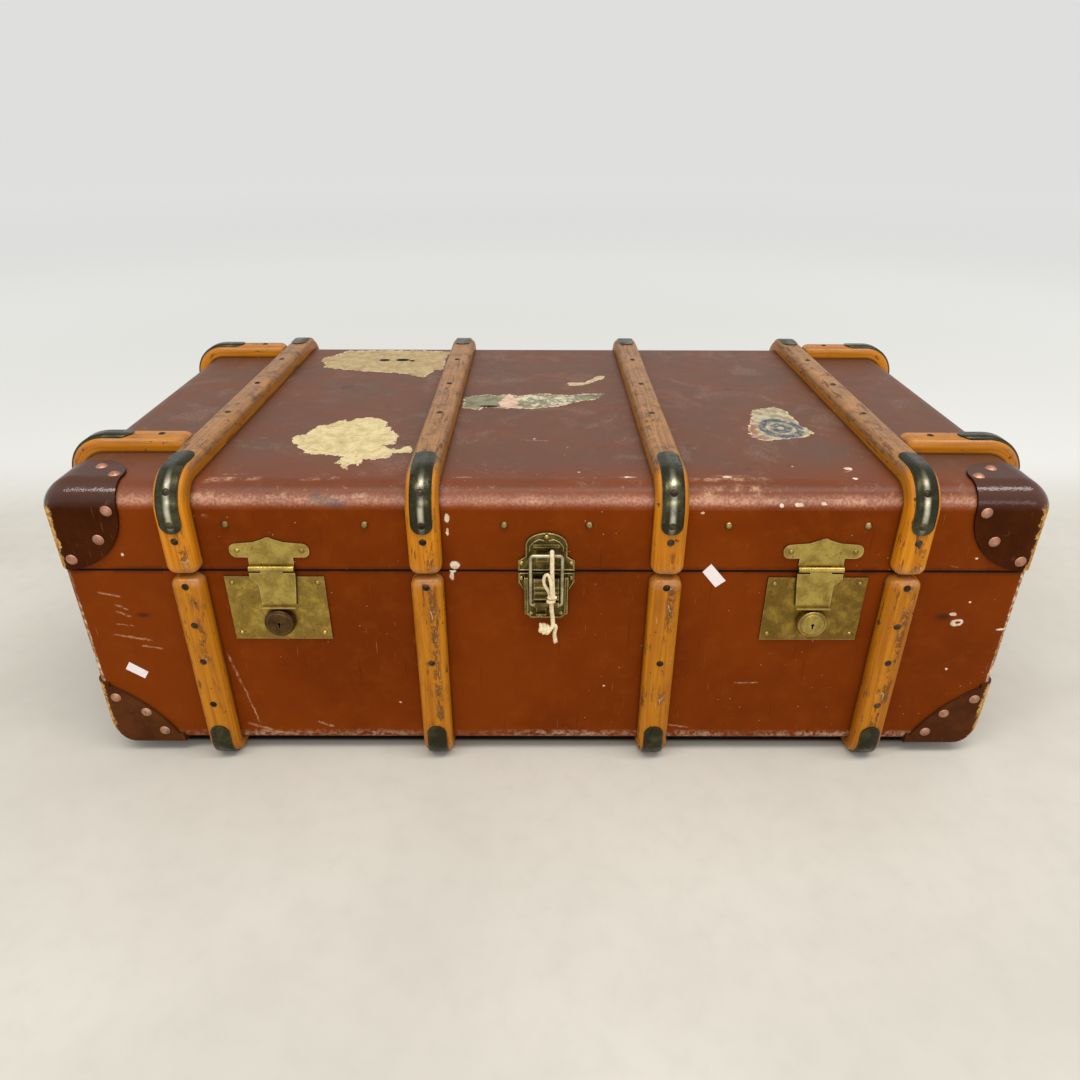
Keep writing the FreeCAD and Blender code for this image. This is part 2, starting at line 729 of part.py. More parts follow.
def build_nails():
    face = number("half_dep + slat_thk")
    end_face = number("half_len + slat_thk")
    skin = number("top_z + slat_thk")
    seam = number("seam_z")
    cap_thk = number("cap_thk")
    bend_z = number("top_z - lid_rad")
    bend = V(0, -number("half_dep - lid_rad"), bend_z)
    rear_bend = V(0, number("half_dep - lid_rad"), bend_z)
    cap_outer = number("lid_rad + slat_thk + cap_thk")
    cap_end = number("top_z - lid_rad - cap_drop")
    lid_spots = []
    base_spots = []
    for index, place in slat_places():
        x = number(place)
        lid_spots += [(V(x, y, skin), UP) for y in TOP_NAILS]
        lid_spots.append((V(x, -face, cap_end - UNDER_CAP), FRONT))
        lid_spots.append((V(x, face, cap_end - UNDER_CAP), REAR))
        for out, centre, normal in ((-1, bend, FRONT), (1, rear_bend, REAR)):
            lid_spots.append(on_bend(centre, cap_outer, CAP_NAIL_LEAN, x, out))
            lid_spots.append((V(x, out * (face + cap_thk), cap_end + CAP_NAIL_DROP), normal))
        rows = OUTER_SLAT_NAILS if index in (1, 4) else INNER_SLAT_NAILS
        base_spots += [(V(x, -face, seam - drop), FRONT) for drop in rows]
        base_spots += [(V(x, face, seam - drop - number("slat_back")), REAR) for drop in INNER_SLAT_NAILS]
    inset = (number("outer_slat_x") + number("half_len - end_rad - cap_flat")) / 2
    for side, sign in SIDES:
        for y in (-number("end_slat_front"), number("end_slat_rear")):
            lid_spots.append((V(sign * inset, y, skin), UP))
            lid_spots.append((V(sign * end_face, y, seam + END_NAIL_RISE), V(sign, 0, 0)))
            base_spots += [(V(sign * end_face, y, seam - drop), V(sign, 0, 0)) for drop in INNER_SLAT_NAILS]
    heads("lid_nails", lid_spots, "nail")
    heads("base_nails", base_spots, "nail")


# Rivets of one corner, as distances from the box corner: across, and down or up.
LID_FRONT_RIVETS = ((59.5, 22.5), (45, 52), (15, 73))
LID_SIDE_RIVETS = ((44, 24), (34, 50), (14, 71))
LID_TOP_RIVETS = ((41, 42), (61, 24))
BASE_FRONT_RIVETS = ((16, 58), (43, 39), (57, 14.5))
BASE_SIDE_RIVETS = ((14, 52), (36, 34))


def build_corner_rivets():
    half_len, half_dep = number("half_len"), number("half_dep")
    leather = number("leather_thk")
    top, floor = number("top_z"), number("floor_z")
    side = V(1, 0, 0)
    lid = [(V(half_len - across, -half_dep - leather, top - down), FRONT) for across, down in LID_FRONT_RIVETS]
    lid += [(V(half_len + leather, -half_dep + across, top - down), side) for across, down in LID_SIDE_RIVETS]
    lid += [(V(half_len - across, -half_dep + back, top + leather), UP) for across, back in LID_TOP_RIVETS]
    base = [(V(half_len - across, -half_dep - leather, floor + up), FRONT) for across, up in BASE_FRONT_RIVETS]
    base += [(V(half_len + leather, -half_dep + across, floor + up), side) for across, up in BASE_SIDE_RIVETS]
    heads("lid_corner_rivets", all_sides(lid), "rivet")
    heads("base_corner_rivets", all_sides(base), "rivet")


def build_studs():
    """Three studs in a row on each side of the catch."""
    near = number("slat_pitch/2 - stud_gap")
    far = number("1.5*slat_pitch - stud_inset")
    y, z = -number("half_dep"), number("top_z - stud_drop")
    heads("lid_studs", [(V(sign * x, y, z), FRONT) for x in (near, (near + far) / 2, far)
                        for side, sign in SIDES], "stud")


# ---------------------------------------------------------------------------------------------
# Leather corners
# ---------------------------------------------------------------------------------------------
def build_lid_corners(outer):
    grown = rounded_block("lid_leather", "leather_thk", "seam_z + corner_seam", "top_z + leather_thk",
                          "end_rad + leather_thk", "lid_rad + leather_thk", "post_rad + leather_thk", True)
    skin = boolean("Cut", "lid_leather_skin", grown, outer)
    body = new_body("lid_corner_region")
    low, high = "(seam_z + corner_seam)", "(top_z + 2*leather_thk)"
    inner_x, out_x = "(half_len - corner_len)", "(half_len + 2*leather_thk)"
    front, back = "(-half_dep - 2*leather_thk)", "(-half_dep + corner_dep)"
    depth = "post_rad + 2*leather_thk"
    pad(body, XZ, "-" + front, depth, [
        (inner_x, high),
        (inner_x, low + " + lobe_rad", "lobe_rad"),
        (inner_x + " + lobe_rad", low),
        (out_x, low),
        (out_x, high),
    ], back=True)
    pad(body, YZ, out_x, depth, [
        (front, low),
        (back + " - side_lobe_rad", low, "side_lobe_rad"),
        (back, low + " + side_lobe_rad"),
        (back, high),
        (front, high),
    ], back=True)
    turn = "(corner_dep - lid_rad)"
    pad(body, XY, high, "2*leather_thk + max(lid_rad; end_rad)", [
        (inner_x, front),
        (out_x, front),
        (out_x, back),
        (inner_x + " + " + turn, back, turn),
        (inner_x, back + " - " + turn),
    ], back=True)
    return boolean("MultiCommon", "lid_corner_front_right", skin, body)


def build_base_corners(outer):
    grown = rounded_block("base_leather", "leather_thk", "floor_z - leather_thk", "seam_z",
                          "end_rad + leather_thk", "foot_leather_rad", "post_rad + leather_thk", False)
    skin = boolean("Cut", "base_leather_skin", grown, outer)
    body = new_body("base_corner_region")
    low, high = "(floor_z - 2*leather_thk)", "(floor_z + foot_corner_hgt)"
    inner_x, out_x = "(half_len - foot_corner_len)", "(half_len + 2*leather_thk)"
    front, back = "(-half_dep - 2*leather_thk)", "(-half_dep + corner_dep)"
    depth = "post_rad + 2*leather_thk"
    pad(body, XZ, "-" + front, depth, [
        (inner_x, low),
        (out_x, low),
        (out_x, high),
        ("half_len - post_rad/2", high, "foot_lobe_rad"),
        (inner_x, "floor_z"),
    ], back=True)
    pad(body, YZ, out_x, depth, [
        (front, low),
        (back, low),
        (back, "floor_z + end_rad", "foot_lobe_rad"),
        ("-half_dep + post_rad/2", high),
        (front, high),
    ], back=True)
    turn = "(corner_dep - lid_rad)"
    pad(body, XY, low, "2*leather_thk + foot_rad", [
        (inner_x, front),
        (out_x, front),
        (out_x, back),
        (inner_x + " + " + turn, back, turn),
        (inner_x, back + " - " + turn),
    ])
    return boolean("MultiCommon", "base_corner_front_right", skin, body)


def build_corners(lid_outer, base_outer):
    """Four corners for each half; the rear ones stop short of the rear end slats."""
    for half, master in (("lid", build_lid_corners(lid_outer)), ("base", build_base_corners(base_outer))):
        node(master)
        node(mirrored(half + "_corner_front_left", master, V(1, 0, 0)))
        strip = box(half + "_rear_strip", "0", "end_slat_rear + end_slat_wid/2 + side_gap", "0",
                    "body_len", "half_dep", "top_z + 2*leather_thk")
        rear = mirrored(half + "_rear_master", master, V(0, 1, 0))
        right = node(boolean("MultiCommon", half + "_corner_back_right", rear, strip))
        node(mirrored(half + "_corner_back_left", right, V(1, 0, 0)))


# ---------------------------------------------------------------------------------------------
# Locks and hasps
# ---------------------------------------------------------------------------------------------
HEAD_INSET = 7       # rivets of a lock plate stand this far inside its edges
LEAF_INSET = 9       # and those of a hinge's leaf
BRACKET_INSET = 5    # and those of a handle's bracket
CATCH_INSET = 0.7    # edge of an ear's rivet to the edge of the ear
EAR_HEAD_UP = 9      # rivets of the ears above the seam
EAR_HEAD_DOWN = 7    # and below it
CAST_ROUND = 1.2     # rounding of cast pieces
PLATE_ROUND = "0.8"  # rounding of a plate's upright edges


def tube_along_x(x0, x1, y, z, outer, bore):
    """Knuckle or barrel along X; a bore of 0 makes a solid pin."""
    length = x1 - x0
    tube = Part.makeCylinder(outer, length, V(x0, y, z), V(1, 0, 0))
    if bore:
        tube = tube.cut(Part.makeCylinder(bore, length, V(x0, y, z), V(1, 0, 0)))
    return tube


def block(x0, x1, y0, y1, z0, z1):
    return Part.makeBox(x1 - x0, y1 - y0, z1 - z0, V(x0, y0, z0))


def build_locks():
    collars, cases, pins = [], [], []
    for side, sign in SIDES:
        build_lock_plate(side, sign)
        x, axis_z = sign * number("lock_x"), number("lock_axis_z")
        front = -number("half_dep + lock_thk")
        collars.append(collar_shape(x, front, axis_z))
        deep = -number("half_dep - wall")
        case = block(x - number("case_len") / 2, x + number("case_len") / 2, deep, deep + number("case_thk"),
                     axis_z - number("case_hgt") / 2, axis_z + number("case_hgt") / 2)
        case = case.makeFillet(CAST_ROUND, [edge for edge in case.Edges if along(edge, 1)])
        socket = Part.makeCylinder(number("plug_stem_rad + run_gap"), number("case_thk") / 2,
                                   V(x, deep, axis_z), REAR)
        cases.append(case.cut(socket))
        build_plug(side, x, front, axis_z, deep + number("case_thk/2 - side_gap"))
        pins.append(build_hasp(side, sign))
    node(feature("lock_collars", Part.makeCompound(collars)))
    node(feature("lock_cases", Part.makeCompound(cases)))
    node(feature("hasp_pins", Part.makeCompound(pins)))


def build_lock_plate(side, sign):
    plate = new_body("lock_plate_" + side)
    x = "%d*lock_x" % sign
    pad(plate, XZ, "half_dep", "lock_thk",
        rectangle(x + " - lock_wid/2", x + " + lock_wid/2",
                  "seam_z - lock_drop - lock_hgt", "seam_z - lock_drop"),
        [(x, "lock_axis_z", "plug_stem_rad + run_gap")])
    skin = -number("half_dep + lock_thk")
    round_edges(plate, PLATE_ROUND, lambda edge: along(edge, 2) and abs(middle(edge).y - skin) < TOUCH)
    node(plate)


def collar_shape(x, front, axis_z):
    outer, bore, height = number("collar_rad"), number("plug_rad + run_gap"), number("collar_hgt")
    ring = Part.makeCylinder(outer, height, V(x, front, axis_z), FRONT)
    ring = ring.cut(Part.makeCylinder(bore, height, V(x, front, axis_z), FRONT))
    rim = [edge for edge in ring.Edges if abs(edge.BoundBox.YMax - (front - height)) < TOUCH
           and abs(edge.Length - 2 * math.pi * outer) < 1e-2]
    return ring.makeFillet((outer - bore) / 2, rim)


def build_plug(side, x, front, axis_z, stem_end):
    """Turning plug: a head in the collar, a stem through plate and wall, and a keyhole."""
    radius = number("plug_rad")
    back = front - number("side_gap")
    length = number("collar_hgt + plug_rise - side_gap")
    face = back - length
    plug = Part.makeCylinder(radius, length, V(x, back, axis_z), FRONT)
    rim = [edge for edge in plug.Edges if abs(edge.BoundBox.YMax - face) < TOUCH
           and edge.BoundBox.XLength > radius]
    plug = plug.makeFillet(CAST_ROUND, rim)
    stem = Part.makeCylinder(number("plug_stem_rad"), stem_end - back, V(x, back, axis_z), REAR)
    key = number("key_rad")
    hole = Part.makeCylinder(key, length, V(x, face, axis_z), REAR)
    slot = block(x - key / 2, x + key / 2, face, back, axis_z - number("key_slot"), axis_z)
    node(feature("lock_plug_" + side, plug.fuse(stem).cut(hole).cut(slot).removeSplitter()))


def build_hasp(side, sign):
    """Hasp plate on the lid and the flap that hangs from it; returns their pin."""
    x = sign * number("lock_x")
    half = number("hasp_neck/2")
    third = number("hasp_neck/2*knuckle_share")
    gap = number("side_gap")
    pin_y, pin_z = number("hasp_pin_y"), number("hasp_pin_z")
    knuckle = number("knuckle_rad")
    barrel = Part.makeCylinder(number("pin_rad + run_gap"), 2 * half, V(x - half, pin_y, pin_z), V(1, 0, 0))

    plate = hasp_plate(side, sign)
    window = block(x - third - gap, x + third + gap, pin_y, -number("half_dep"), pin_z - 1, pin_z + knuckle + gap)
    shape = plate.Shape.cut(window)
    for start, stop in ((-half, -third - gap), (third + gap, half)):
        shape = shape.fuse(tube_along_x(x + start, x + stop, pin_y, pin_z, knuckle, 0))
    node(feature("hasp_plate_" + side, shape.cut(barrel).removeSplitter()))

    back = pin_y - knuckle / 4
    thick = number("hasp_thk")
    shape = hasp_flap(side, sign, back).Shape
    shape = shape.fuse(block(x - third, x + third, back - thick, back, pin_z - number("flap_drop"), pin_z))
    shape = shape.fuse(tube_along_x(x - third, x + third, pin_y, pin_z, knuckle, 0))
    low = pin_z - number("hasp_len")
    sides = sorted((x - sign * number("flap_out - flap_taper"), x + sign * number("flap_in")))
    lip = block(sides[0], sides[1], back - thick - number("lip_rise"), back, low, low + thick)
    staple_z = low + number("staple_low")
    staple = block(x - number("staple_wid/2"), x + number("staple_wid/2"),
                   back, -number("half_dep + lock_thk + side_gap"), staple_z, staple_z + number("staple_len"))
    node(feature("hasp_" + side, shape.fuse(lip).fuse(staple).cut(barrel).removeSplitter()))
    return tube_along_x(x - half, x + half, pin_y, pin_z, number("pin_rad"), 0)


def hasp_plate(side, sign):
    """Plate with two wings, a rounded crest above and a neck down to the pin."""
    x = "%d*lock_x" % sign
    low, high = "(hasp_pin_z + wing_low)", "(hasp_pin_z + wing_low + wing_hgt)"
    neck, wing, crest, nose = "hasp_neck/2", "hasp_wing/2", "crest_wid/2", "crest_nose/2"
    plate = new_body("hasp_plate_%s_blank" % side)
    pad(plate, XZ, "half_dep", "hasp_thk", [
        (x + " - " + neck, "hasp_pin_z"),
        (x + " + " + neck, "hasp_pin_z"),
        (x + " + " + neck, low),
        (x + " + " + wing, low),
        (x + " + " + wing, high),
        (x + " + " + crest, high + " + crest_step"),
        (x + " + " + nose, high + " + crest_hgt", "crest_rad"),
        (x + " - " + nose, high + " + crest_hgt"),
        (x + " - " + crest, high + " + crest_step"),
        (x + " - " + wing, high),
        (x + " - " + wing, low),
        (x + " - " + neck, low),
    ])
    centre, reach = sign * number("lock_x"), number("hasp_wing/2")
    round_edges(plate, "(hasp_wing - hasp_neck)/5",
                lambda edge: along(edge, 1) and abs(abs(middle(edge).x - centre) - reach) < TOUCH)
    return plate


def hasp_flap(side, sign, back):
    """The flap below its knuckle: outer edge leaning in, inner edge stepped; the two mirror each other."""
    top, bottom = "(hasp_pin_z - flap_drop)", "(hasp_pin_z - hasp_len)"

    def across(amount):
        return "%d*lock_x + %d*(%s)" % (sign, sign, amount)

    corners = [
        (across("-flap_out"), top),
        (across("-flap_out + flap_taper*0.4"), bottom + " + flap_bend"),
        (across("-flap_out + flap_taper"), bottom),
        (across("flap_in"), bottom),
        (across("flap_in"), top + " - flap_shoulder"),
        (across("flap_in + flap_step"), top + " - flap_shoulder + flap_step"),
        (across("flap_in + flap_step"), top),
    ]
    if sign < 0:
        corners.reverse()
    flap = new_body("hasp_%s_blank" % side)
    pad(flap, XZ, str(-back), "hasp_thk", corners)
    return flap


# ---------------------------------------------------------------------------------------------
# Draw catch
# ---------------------------------------------------------------------------------------------
def build_catch():
    build_catch_plate()
    build_lever()
    node(feature("catch_bail", bail_shape()))
    build_keeper()


def build_catch_plate():
    """Base plate with two lugs that carry the lever's pin, and a rib below each lug."""
    blank = new_body("catch_plate_blank")
    ear, half, top = "catch_ear/2", "catch_wid/2", "(seam_z - catch_seam)"
    low = "(%s - catch_hgt)" % top
    pad(blank, XZ, "half_dep", "catch_thk", [
        ("-" + ear, top),
        ("-" + ear, top + " - ear_hgt"),
        ("-" + half, top + " - ear_hgt - ear_taper"),
        ("-" + half, low + " + catch_chamfer"),
        ("-" + half + " + catch_chamfer", low),
        (half + " - catch_chamfer", low),
        (half, low + " + catch_chamfer"),
        (half, top + " - ear_hgt - ear_taper"),
        (ear, top + " - ear_hgt"),
        (ear, top),
    ])
    shape = blank.Shape
    front = -number("half_dep + catch_thk")
    lever_y, lever_z, pin = number("lever_y"), number("lever_z"), number("pin_rad")
    lug_in, lug_out = number("bail_wid/2 + bail_rad + 3*side_gap"), number("catch_wid/2")
    nose, lug_half = lever_y - 2 * pin, number("lug_hgt/2")
    for sign in (-1, 1):
        x0, x1 = sorted((sign * lug_in, sign * lug_out))
        lug = block(x0, x1, nose, front, lever_z - lug_half, lever_z + lug_half)
        lug = lug.makeFillet(pin, [edge for edge in lug.Edges
                                   if along(edge, 0) and abs(middle(edge).y - nose) < TOUCH])
        rib = block(x0, x1, front - 2 * pin, front, number(low + " + catch_chamfer + side_gap"), lever_z)
        shape = shape.fuse(lug).fuse(rib)
    pin_hole = tube_along_x(-lug_out, lug_out, lever_y, lever_z, pin, 0)
    node(feature("catch_plate", shape.cut(pin_hole).removeSplitter()))
    node(feature("catch_pin", pin_hole))


def build_lever():
    """Lever: a barrel on the pin, a beaded plate, the bail's eye and a thumb tab below it."""
    half = number("lever_wid/2")
    lever_y, lever_z = number("lever_y"), number("lever_z")
    bail_y, eye_z = number("bail_y"), number("eye_z")
    barrel, thick = number("barrel_rad"), number("lever_thk")
    front = lever_y - barrel + 1
    back = front + thick
    tab_low, tab_wid = eye_z - number("tab_drop"), number("tab_wid")
    shape = tube_along_x(-half, half, lever_y, lever_z, barrel, 0)
    shape = shape.fuse(tube_along_x(-half, half, bail_y, eye_z, barrel, 0))
    for solid in (block(-half, half, front, back, eye_z - thick / 2, lever_z),
                  block(-tab_wid, 0, front, back, tab_low, eye_z),
                  block(-tab_wid, 0, front - 2 * thick, back, tab_low, tab_low + thick)):
        shape = shape.fuse(solid)
    bead = number("bead_rad")
    for z in (lever_z - 2 * barrel, (lever_z + eye_z) / 2, eye_z + 1.5 * barrel):
        shape = shape.fuse(tube_along_x(-half, half, front, z, bead, 0))
    for y, z, bore in ((lever_y, lever_z, "pin_rad + run_gap"), (bail_y, eye_z, "bail_rad + run_gap")):
        shape = shape.cut(tube_along_x(-half, half, y, z, number(bore), 0))
    node(feature("catch_lever", shape.removeSplitter()))


def bail_shape():
    """Rectangular wire loop: two arms, a top bar and two short ends turned into the lever's eye."""
    arm, wire, y = number("bail_wid/2"), number("bail_rad"), number("bail_y")
    low, high = number("eye_z"), number("seam_z + bail_rise")
    inner_end = number("lever_wid/4")
    turn = number("bail_wid/2 - lever_wid/2 - run_gap")
    short = turn * (1 - math.sqrt(0.5))
    path = Part.Wire([
        Part.makeLine(V(inner_end, y, low), V(arm - turn, y, low)),
        Part.Arc(V(arm - turn, y, low), V(arm - short, y, low + short), V(arm, y, low + turn)).toShape(),
        Part.makeLine(V(arm, y, low + turn), V(arm, y, high - turn)),
        Part.Arc(V(arm, y, high - turn), V(arm - short, y, high - short), V(arm - turn, y, high)).toShape(),
        Part.makeLine(V(arm - turn, y, high), V(0, y, high)),
    ])
    right = swept(path, wire)
    return right.fuse(right.mirror(V(0, 0, 0), V(1, 0, 0))).removeSplitter()


def build_keeper():
    """Keeper on the lid: arched plate with a nub just behind the bail's top bar and a brow above."""
    keeper = new_body("catch_keeper_blank")
    ear, half, low = "catch_ear/2", "(catch_wid/2 - 1)", "(seam_z + catch_seam)"
    neck_z, arch_z = low + " + ear_hgt + ear_taper/2", "seam_z + keeper_hgt - keeper_arch"
    pad(keeper, XZ, "half_dep", "catch_thk", [
        ("-" + ear, low),
        (ear, low),
        (ear, low + " + ear_hgt"),
        (half, neck_z),
        (half, arch_z, "catch_wid/2 + 1"),
        ("-" + half, arch_z),
        ("-" + half, neck_z),
        ("-" + ear, low + " + ear_hgt"),
    ])
    front = -number("half_dep + catch_thk")
    bar_z, wire = number("seam_z + bail_rise"), number("bail_rad")
    half_lever = number("lever_wid/2")
    nub = block(-number("tab_wid"), wire, number("bail_y + bail_rad + side_gap"), front,
                bar_z - 4 * wire, bar_z + wire)
    brow = block(-half_lever, half_lever, front - wire, front, bar_z + 3 * wire, bar_z + 5 * wire)
    node(feature("catch_keeper", keeper.Shape.fuse(nub).fuse(brow).removeSplitter()))


# ---------------------------------------------------------------------------------------------
# String tied to the bail
# ---------------------------------------------------------------------------------------------
LOOP_SHARE = 0.76    # the loop's radius as a share of the strand's
TAIL_SHARE = 0.8     # and the tail's


def rounded_path(points):
    """Straight runs joined by arcs as large as the shorter run allows."""
    edges = []
    start = points[0]
    for before, corner, after in zip(points, points[1:], points[2:]):
        run_in, run_out = corner - before, after - corner
        turn = run_in.getAngle(run_out)
        reach = 0.45 * min(run_in.Length, run_out.Length)
        first = corner - V(run_in).normalize() * reach
        last = corner + V(run_out).normalize() * reach
        radius = reach / math.tan(turn / 2)
        inward = ((first + last) * 0.5 - corner).normalize()
        apex = corner + inward * (radius / math.cos(turn / 2) - radius)
        edges.append(Part.LineSegment(start, first).toShape())
        edges.append(Part.Arc(first, apex, last).toShape())
        start = last
    edges.append(Part.LineSegment(start, points[-1]).toShape())
    return Part.Wire(edges)


def swept(path, radius):
    """Round wire or string along a path."""
    first = path.OrderedEdges[0]
    circle = Part.Wire(Part.makeCircle(radius, first.valueAt(first.FirstParameter),
                                       first.tangentAt(first.FirstParameter)))
    return path.makePipeShell([circle], True, False)


def small_knot(centre):
    """A knot as a barrel on end: flat above and below where the strands leave it."""
    wide, flat, half = number("knot_rad"), number("knot_flat"), number("knot_hgt/2")
    top, side, low = V(flat, 0, half), V(wide, 0, 0), V(flat, 0, -half)
    profile = Part.Wire([Part.makeLine(V(0, 0, half), top), Part.Arc(top, side, low).toShape(),
                         Part.makeLine(low, V(0, 0, -half)), Part.makeLine(V(0, 0, -half), V(0, 0, half))])
    barrel = Part.Face(profile).revolve(V(0, 0, 0), V(0, 0, 1), 360)
    barrel.translate(centre)
    return barrel


def big_knot(centre):
    """The end knot as a rounded block, flat above and below."""
    wide, deep, high = number("end_knot_wid/2"), number("end_knot_dep/2"), number("end_knot_hgt/2")
    knot = block(-wide, wide, -deep, deep, -high, high)
    knot = knot.makeFillet(number("end_knot_round"), knot.Edges)
    knot.translate(centre)
    return knot


def build_tie():
    """Cotton string laid over the bail's top bar: a strand, a loop beside it, two knots and a tail.

    The pieces meet end to end on the flats of the knots.
    """
    radius, bail_y, seam = number("string_rad"), number("bail_y"), number("seam_z")
    ring = number("bail_rad + string_rad + run_gap")
    bar_z = seam + number("bail_rise")
    front = bail_y - number("barrel_rad") - radius - number("side_gap")
    knot = V(number("string_x"), front - radius / 2, seam - number("knot_drop"))
    half = number("knot_hgt/2")
    strand = knot + V(0.7 * radius, radius / 2, half)
    outer_leg = knot + V(-0.9 * radius, radius / 2, half)
    near_leg = knot + V(0, -radius, half)
    end_knot = V(knot.x - number("tail_side"), knot.y, seam - number("end_knot_drop"))
    end_half = number("end_knot_hgt/2")

    main = swept(rounded_path([
        V(strand.x, bail_y + ring, bar_z - ring),
        V(strand.x, bail_y + ring, bar_z + ring),
        V(strand.x, bail_y - ring, bar_z + ring),
        V(strand.x, bail_y - ring, bar_z - ring),
        V(strand.x, front, seam),
        strand,
    ]), radius)
    wide, long = number("loop_wid"), number("loop_len")
    loop = swept(rounded_path([
        outer_leg,
        outer_leg + V(0, 0, long / 6),
        outer_leg + V(-wide, -radius / 4, long / 2),
        outer_leg + V(-0.9 * wide, -radius / 2, 0.9 * long),
        outer_leg + V(-wide / 6, -radius, long),
        near_leg + V(-wide / 10, 0, 0.6 * long),
        near_leg + V(0, 0, long / 4),
        near_leg,
    ]), LOOP_SHARE * radius)
    drop = swept(rounded_path([knot - V(0, 0, half), V(knot.x, knot.y, end_knot.z + end_half)]), radius)
    side, length = number("tail_side"), number("tail_len")
    tail = swept(rounded_path([
        end_knot + V(side, 0, -end_half),
        end_knot + V(side, 0, -end_half - length / 3),
        end_knot + V(1.4 * side, 0, -end_half - length),
    ]), TAIL_SHARE * radius)
    node(feature("tie_string", Part.makeCompound([main, loop, small_knot(knot), drop, big_knot(end_knot), tail])))


# ---------------------------------------------------------------------------------------------
# Plate rivets
# ---------------------------------------------------------------------------------------------
def build_plate_rivets():
    """Small heads of the hardware: round on the plates, all of one size."""
    face = number("half_dep")
    seam = number("seam_z")
    lock_top = seam - number("lock_drop")
    base, lid = [], []
    for side, sign in SIDES:
        x = sign * number("lock_x")
        reach = number("lock_wid") / 2 - HEAD_INSET
        for dx in (-reach, reach):
            for z in (lock_top - HEAD_INSET, lock_top - number("lock_hgt") + HEAD_INSET):
                base.append((V(x + dx, -face - number("lock_thk"), z), FRONT))
            wing = number("hasp_wing") / 2 - HEAD_INSET
            lid.append((V(x + math.copysign(wing, dx), -face - number("hasp_thk"),
                          number("hasp_pin_z + wing_low + wing_hgt/2")), FRONT))
    ear = number("catch_ear - small_dia") / 2 - CATCH_INSET
    foot = number("catch_wid") / 2 - number("catch_chamfer")
    catch_y = -face - number("catch_thk")
    for sign in (-1, 1):
        lid.append((V(sign * ear, catch_y, seam + EAR_HEAD_UP), FRONT))
        base.append((V(sign * ear, catch_y, seam - EAR_HEAD_DOWN), FRONT))
        base.append((V(sign * foot, catch_y, seam - number("catch_hgt - small_dia")), FRONT))
    lid.append((V(0, catch_y, seam + number("keeper_hgt - small_dia")), FRONT))
    hinge_y = face + number("hinge_thk")
    leaf_x = number("hinge_wid") / 2 - LEAF_INSET
    leaf_z = number("hinge_hgt") - LEAF_INSET
    for step in HINGE_STEPS:
        x = step * number("slat_pitch")
        for dx in (-leaf_x, leaf_x):
            base.append((V(x + dx, hinge_y, seam - leaf_z), REAR))
            lid.append((V(x + dx, hinge_y, seam + leaf_z), REAR))
    for side, sign in SIDES:
        x = sign * number("half_len + bracket_thk")
        for end in (-1, 1):
            for dz in (-1, 1):
                y = end * (number("handle_span + bracket_wid") / 2 - BRACKET_INSET)
                z = number("handle_z") + dz * (number("bracket_hgt") / 2 - BRACKET_INSET)
                base.append((V(x, y, z), V(sign, 0, 0)))
    heads("base_plate_rivets", base, "small")
    heads("lid_plate_rivets", lid, "small")


# ---------------------------------------------------------------------------------------------
# Back hinges
# ---------------------------------------------------------------------------------------------
HINGE_STEPS = (-1, 0, 1)


def build_hinges():
    face = number("half_dep")
    seam = number("seam_z")
    axis_y = number("hinge_y")
    knuckle, pin = number("hinge_knuckle"), number("hinge_pin")
    thick = number("hinge_thk")
    gap = number("side_gap")
    half = number("hinge_wid") / 2
    third = half * 0.4
    height = number("hinge_hgt")
    leaves = {"base": [], "lid": []}
    pins = []
    for step in HINGE_STEPS:
        x = step * number("slat_pitch")
        bore = Part.makeCylinder(pin + number("run_gap"), 2 * half, V(x - half, axis_y, seam), V(1, 0, 0))
        middle_zone = Part.makeCylinder(knuckle + gap, 2 * third + 2 * gap,
                                        V(x - third - gap, axis_y, seam), V(1, 0, 0))
        lid_leaf = block(x - half, x + half, face, face + thick, seam + gap, seam + height).cut(middle_zone)
        base_leaf = block(x - half, x + half, face, face + thick, seam - height, seam - gap)
        for start, stop in ((-half, -third - gap), (third + gap, half)):
            zone = Part.makeCylinder(knuckle + gap, stop - start, V(x + start, axis_y, seam), V(1, 0, 0))
            base_leaf = base_leaf.cut(zone)
            lid_leaf = lid_leaf.fuse(tube_along_x(x + start, x + stop, axis_y, seam, knuckle, 0))
            web = block(x + start, x + stop, face, face + thick, seam + gap, seam + knuckle)
            lid_leaf = lid_leaf.fuse(web)
        base_leaf = base_leaf.fuse(tube_along_x(x - third, x + third, axis_y, seam, knuckle, 0))
        leaves["lid"].append(lid_leaf.cut(bore).removeSplitter())
        leaves["base"].append(base_leaf.cut(bore).removeSplitter())
        pins.append(tube_along_x(x - half, x + half, axis_y, seam, pin, 0))
    node(feature("hinge_leaves_base", Part.makeCompound(leaves["base"])))
    node(feature("hinge_leaves_lid", Part.makeCompound(leaves["lid"])))
    node(feature("hinge_pins", Part.makeCompound(pins)))


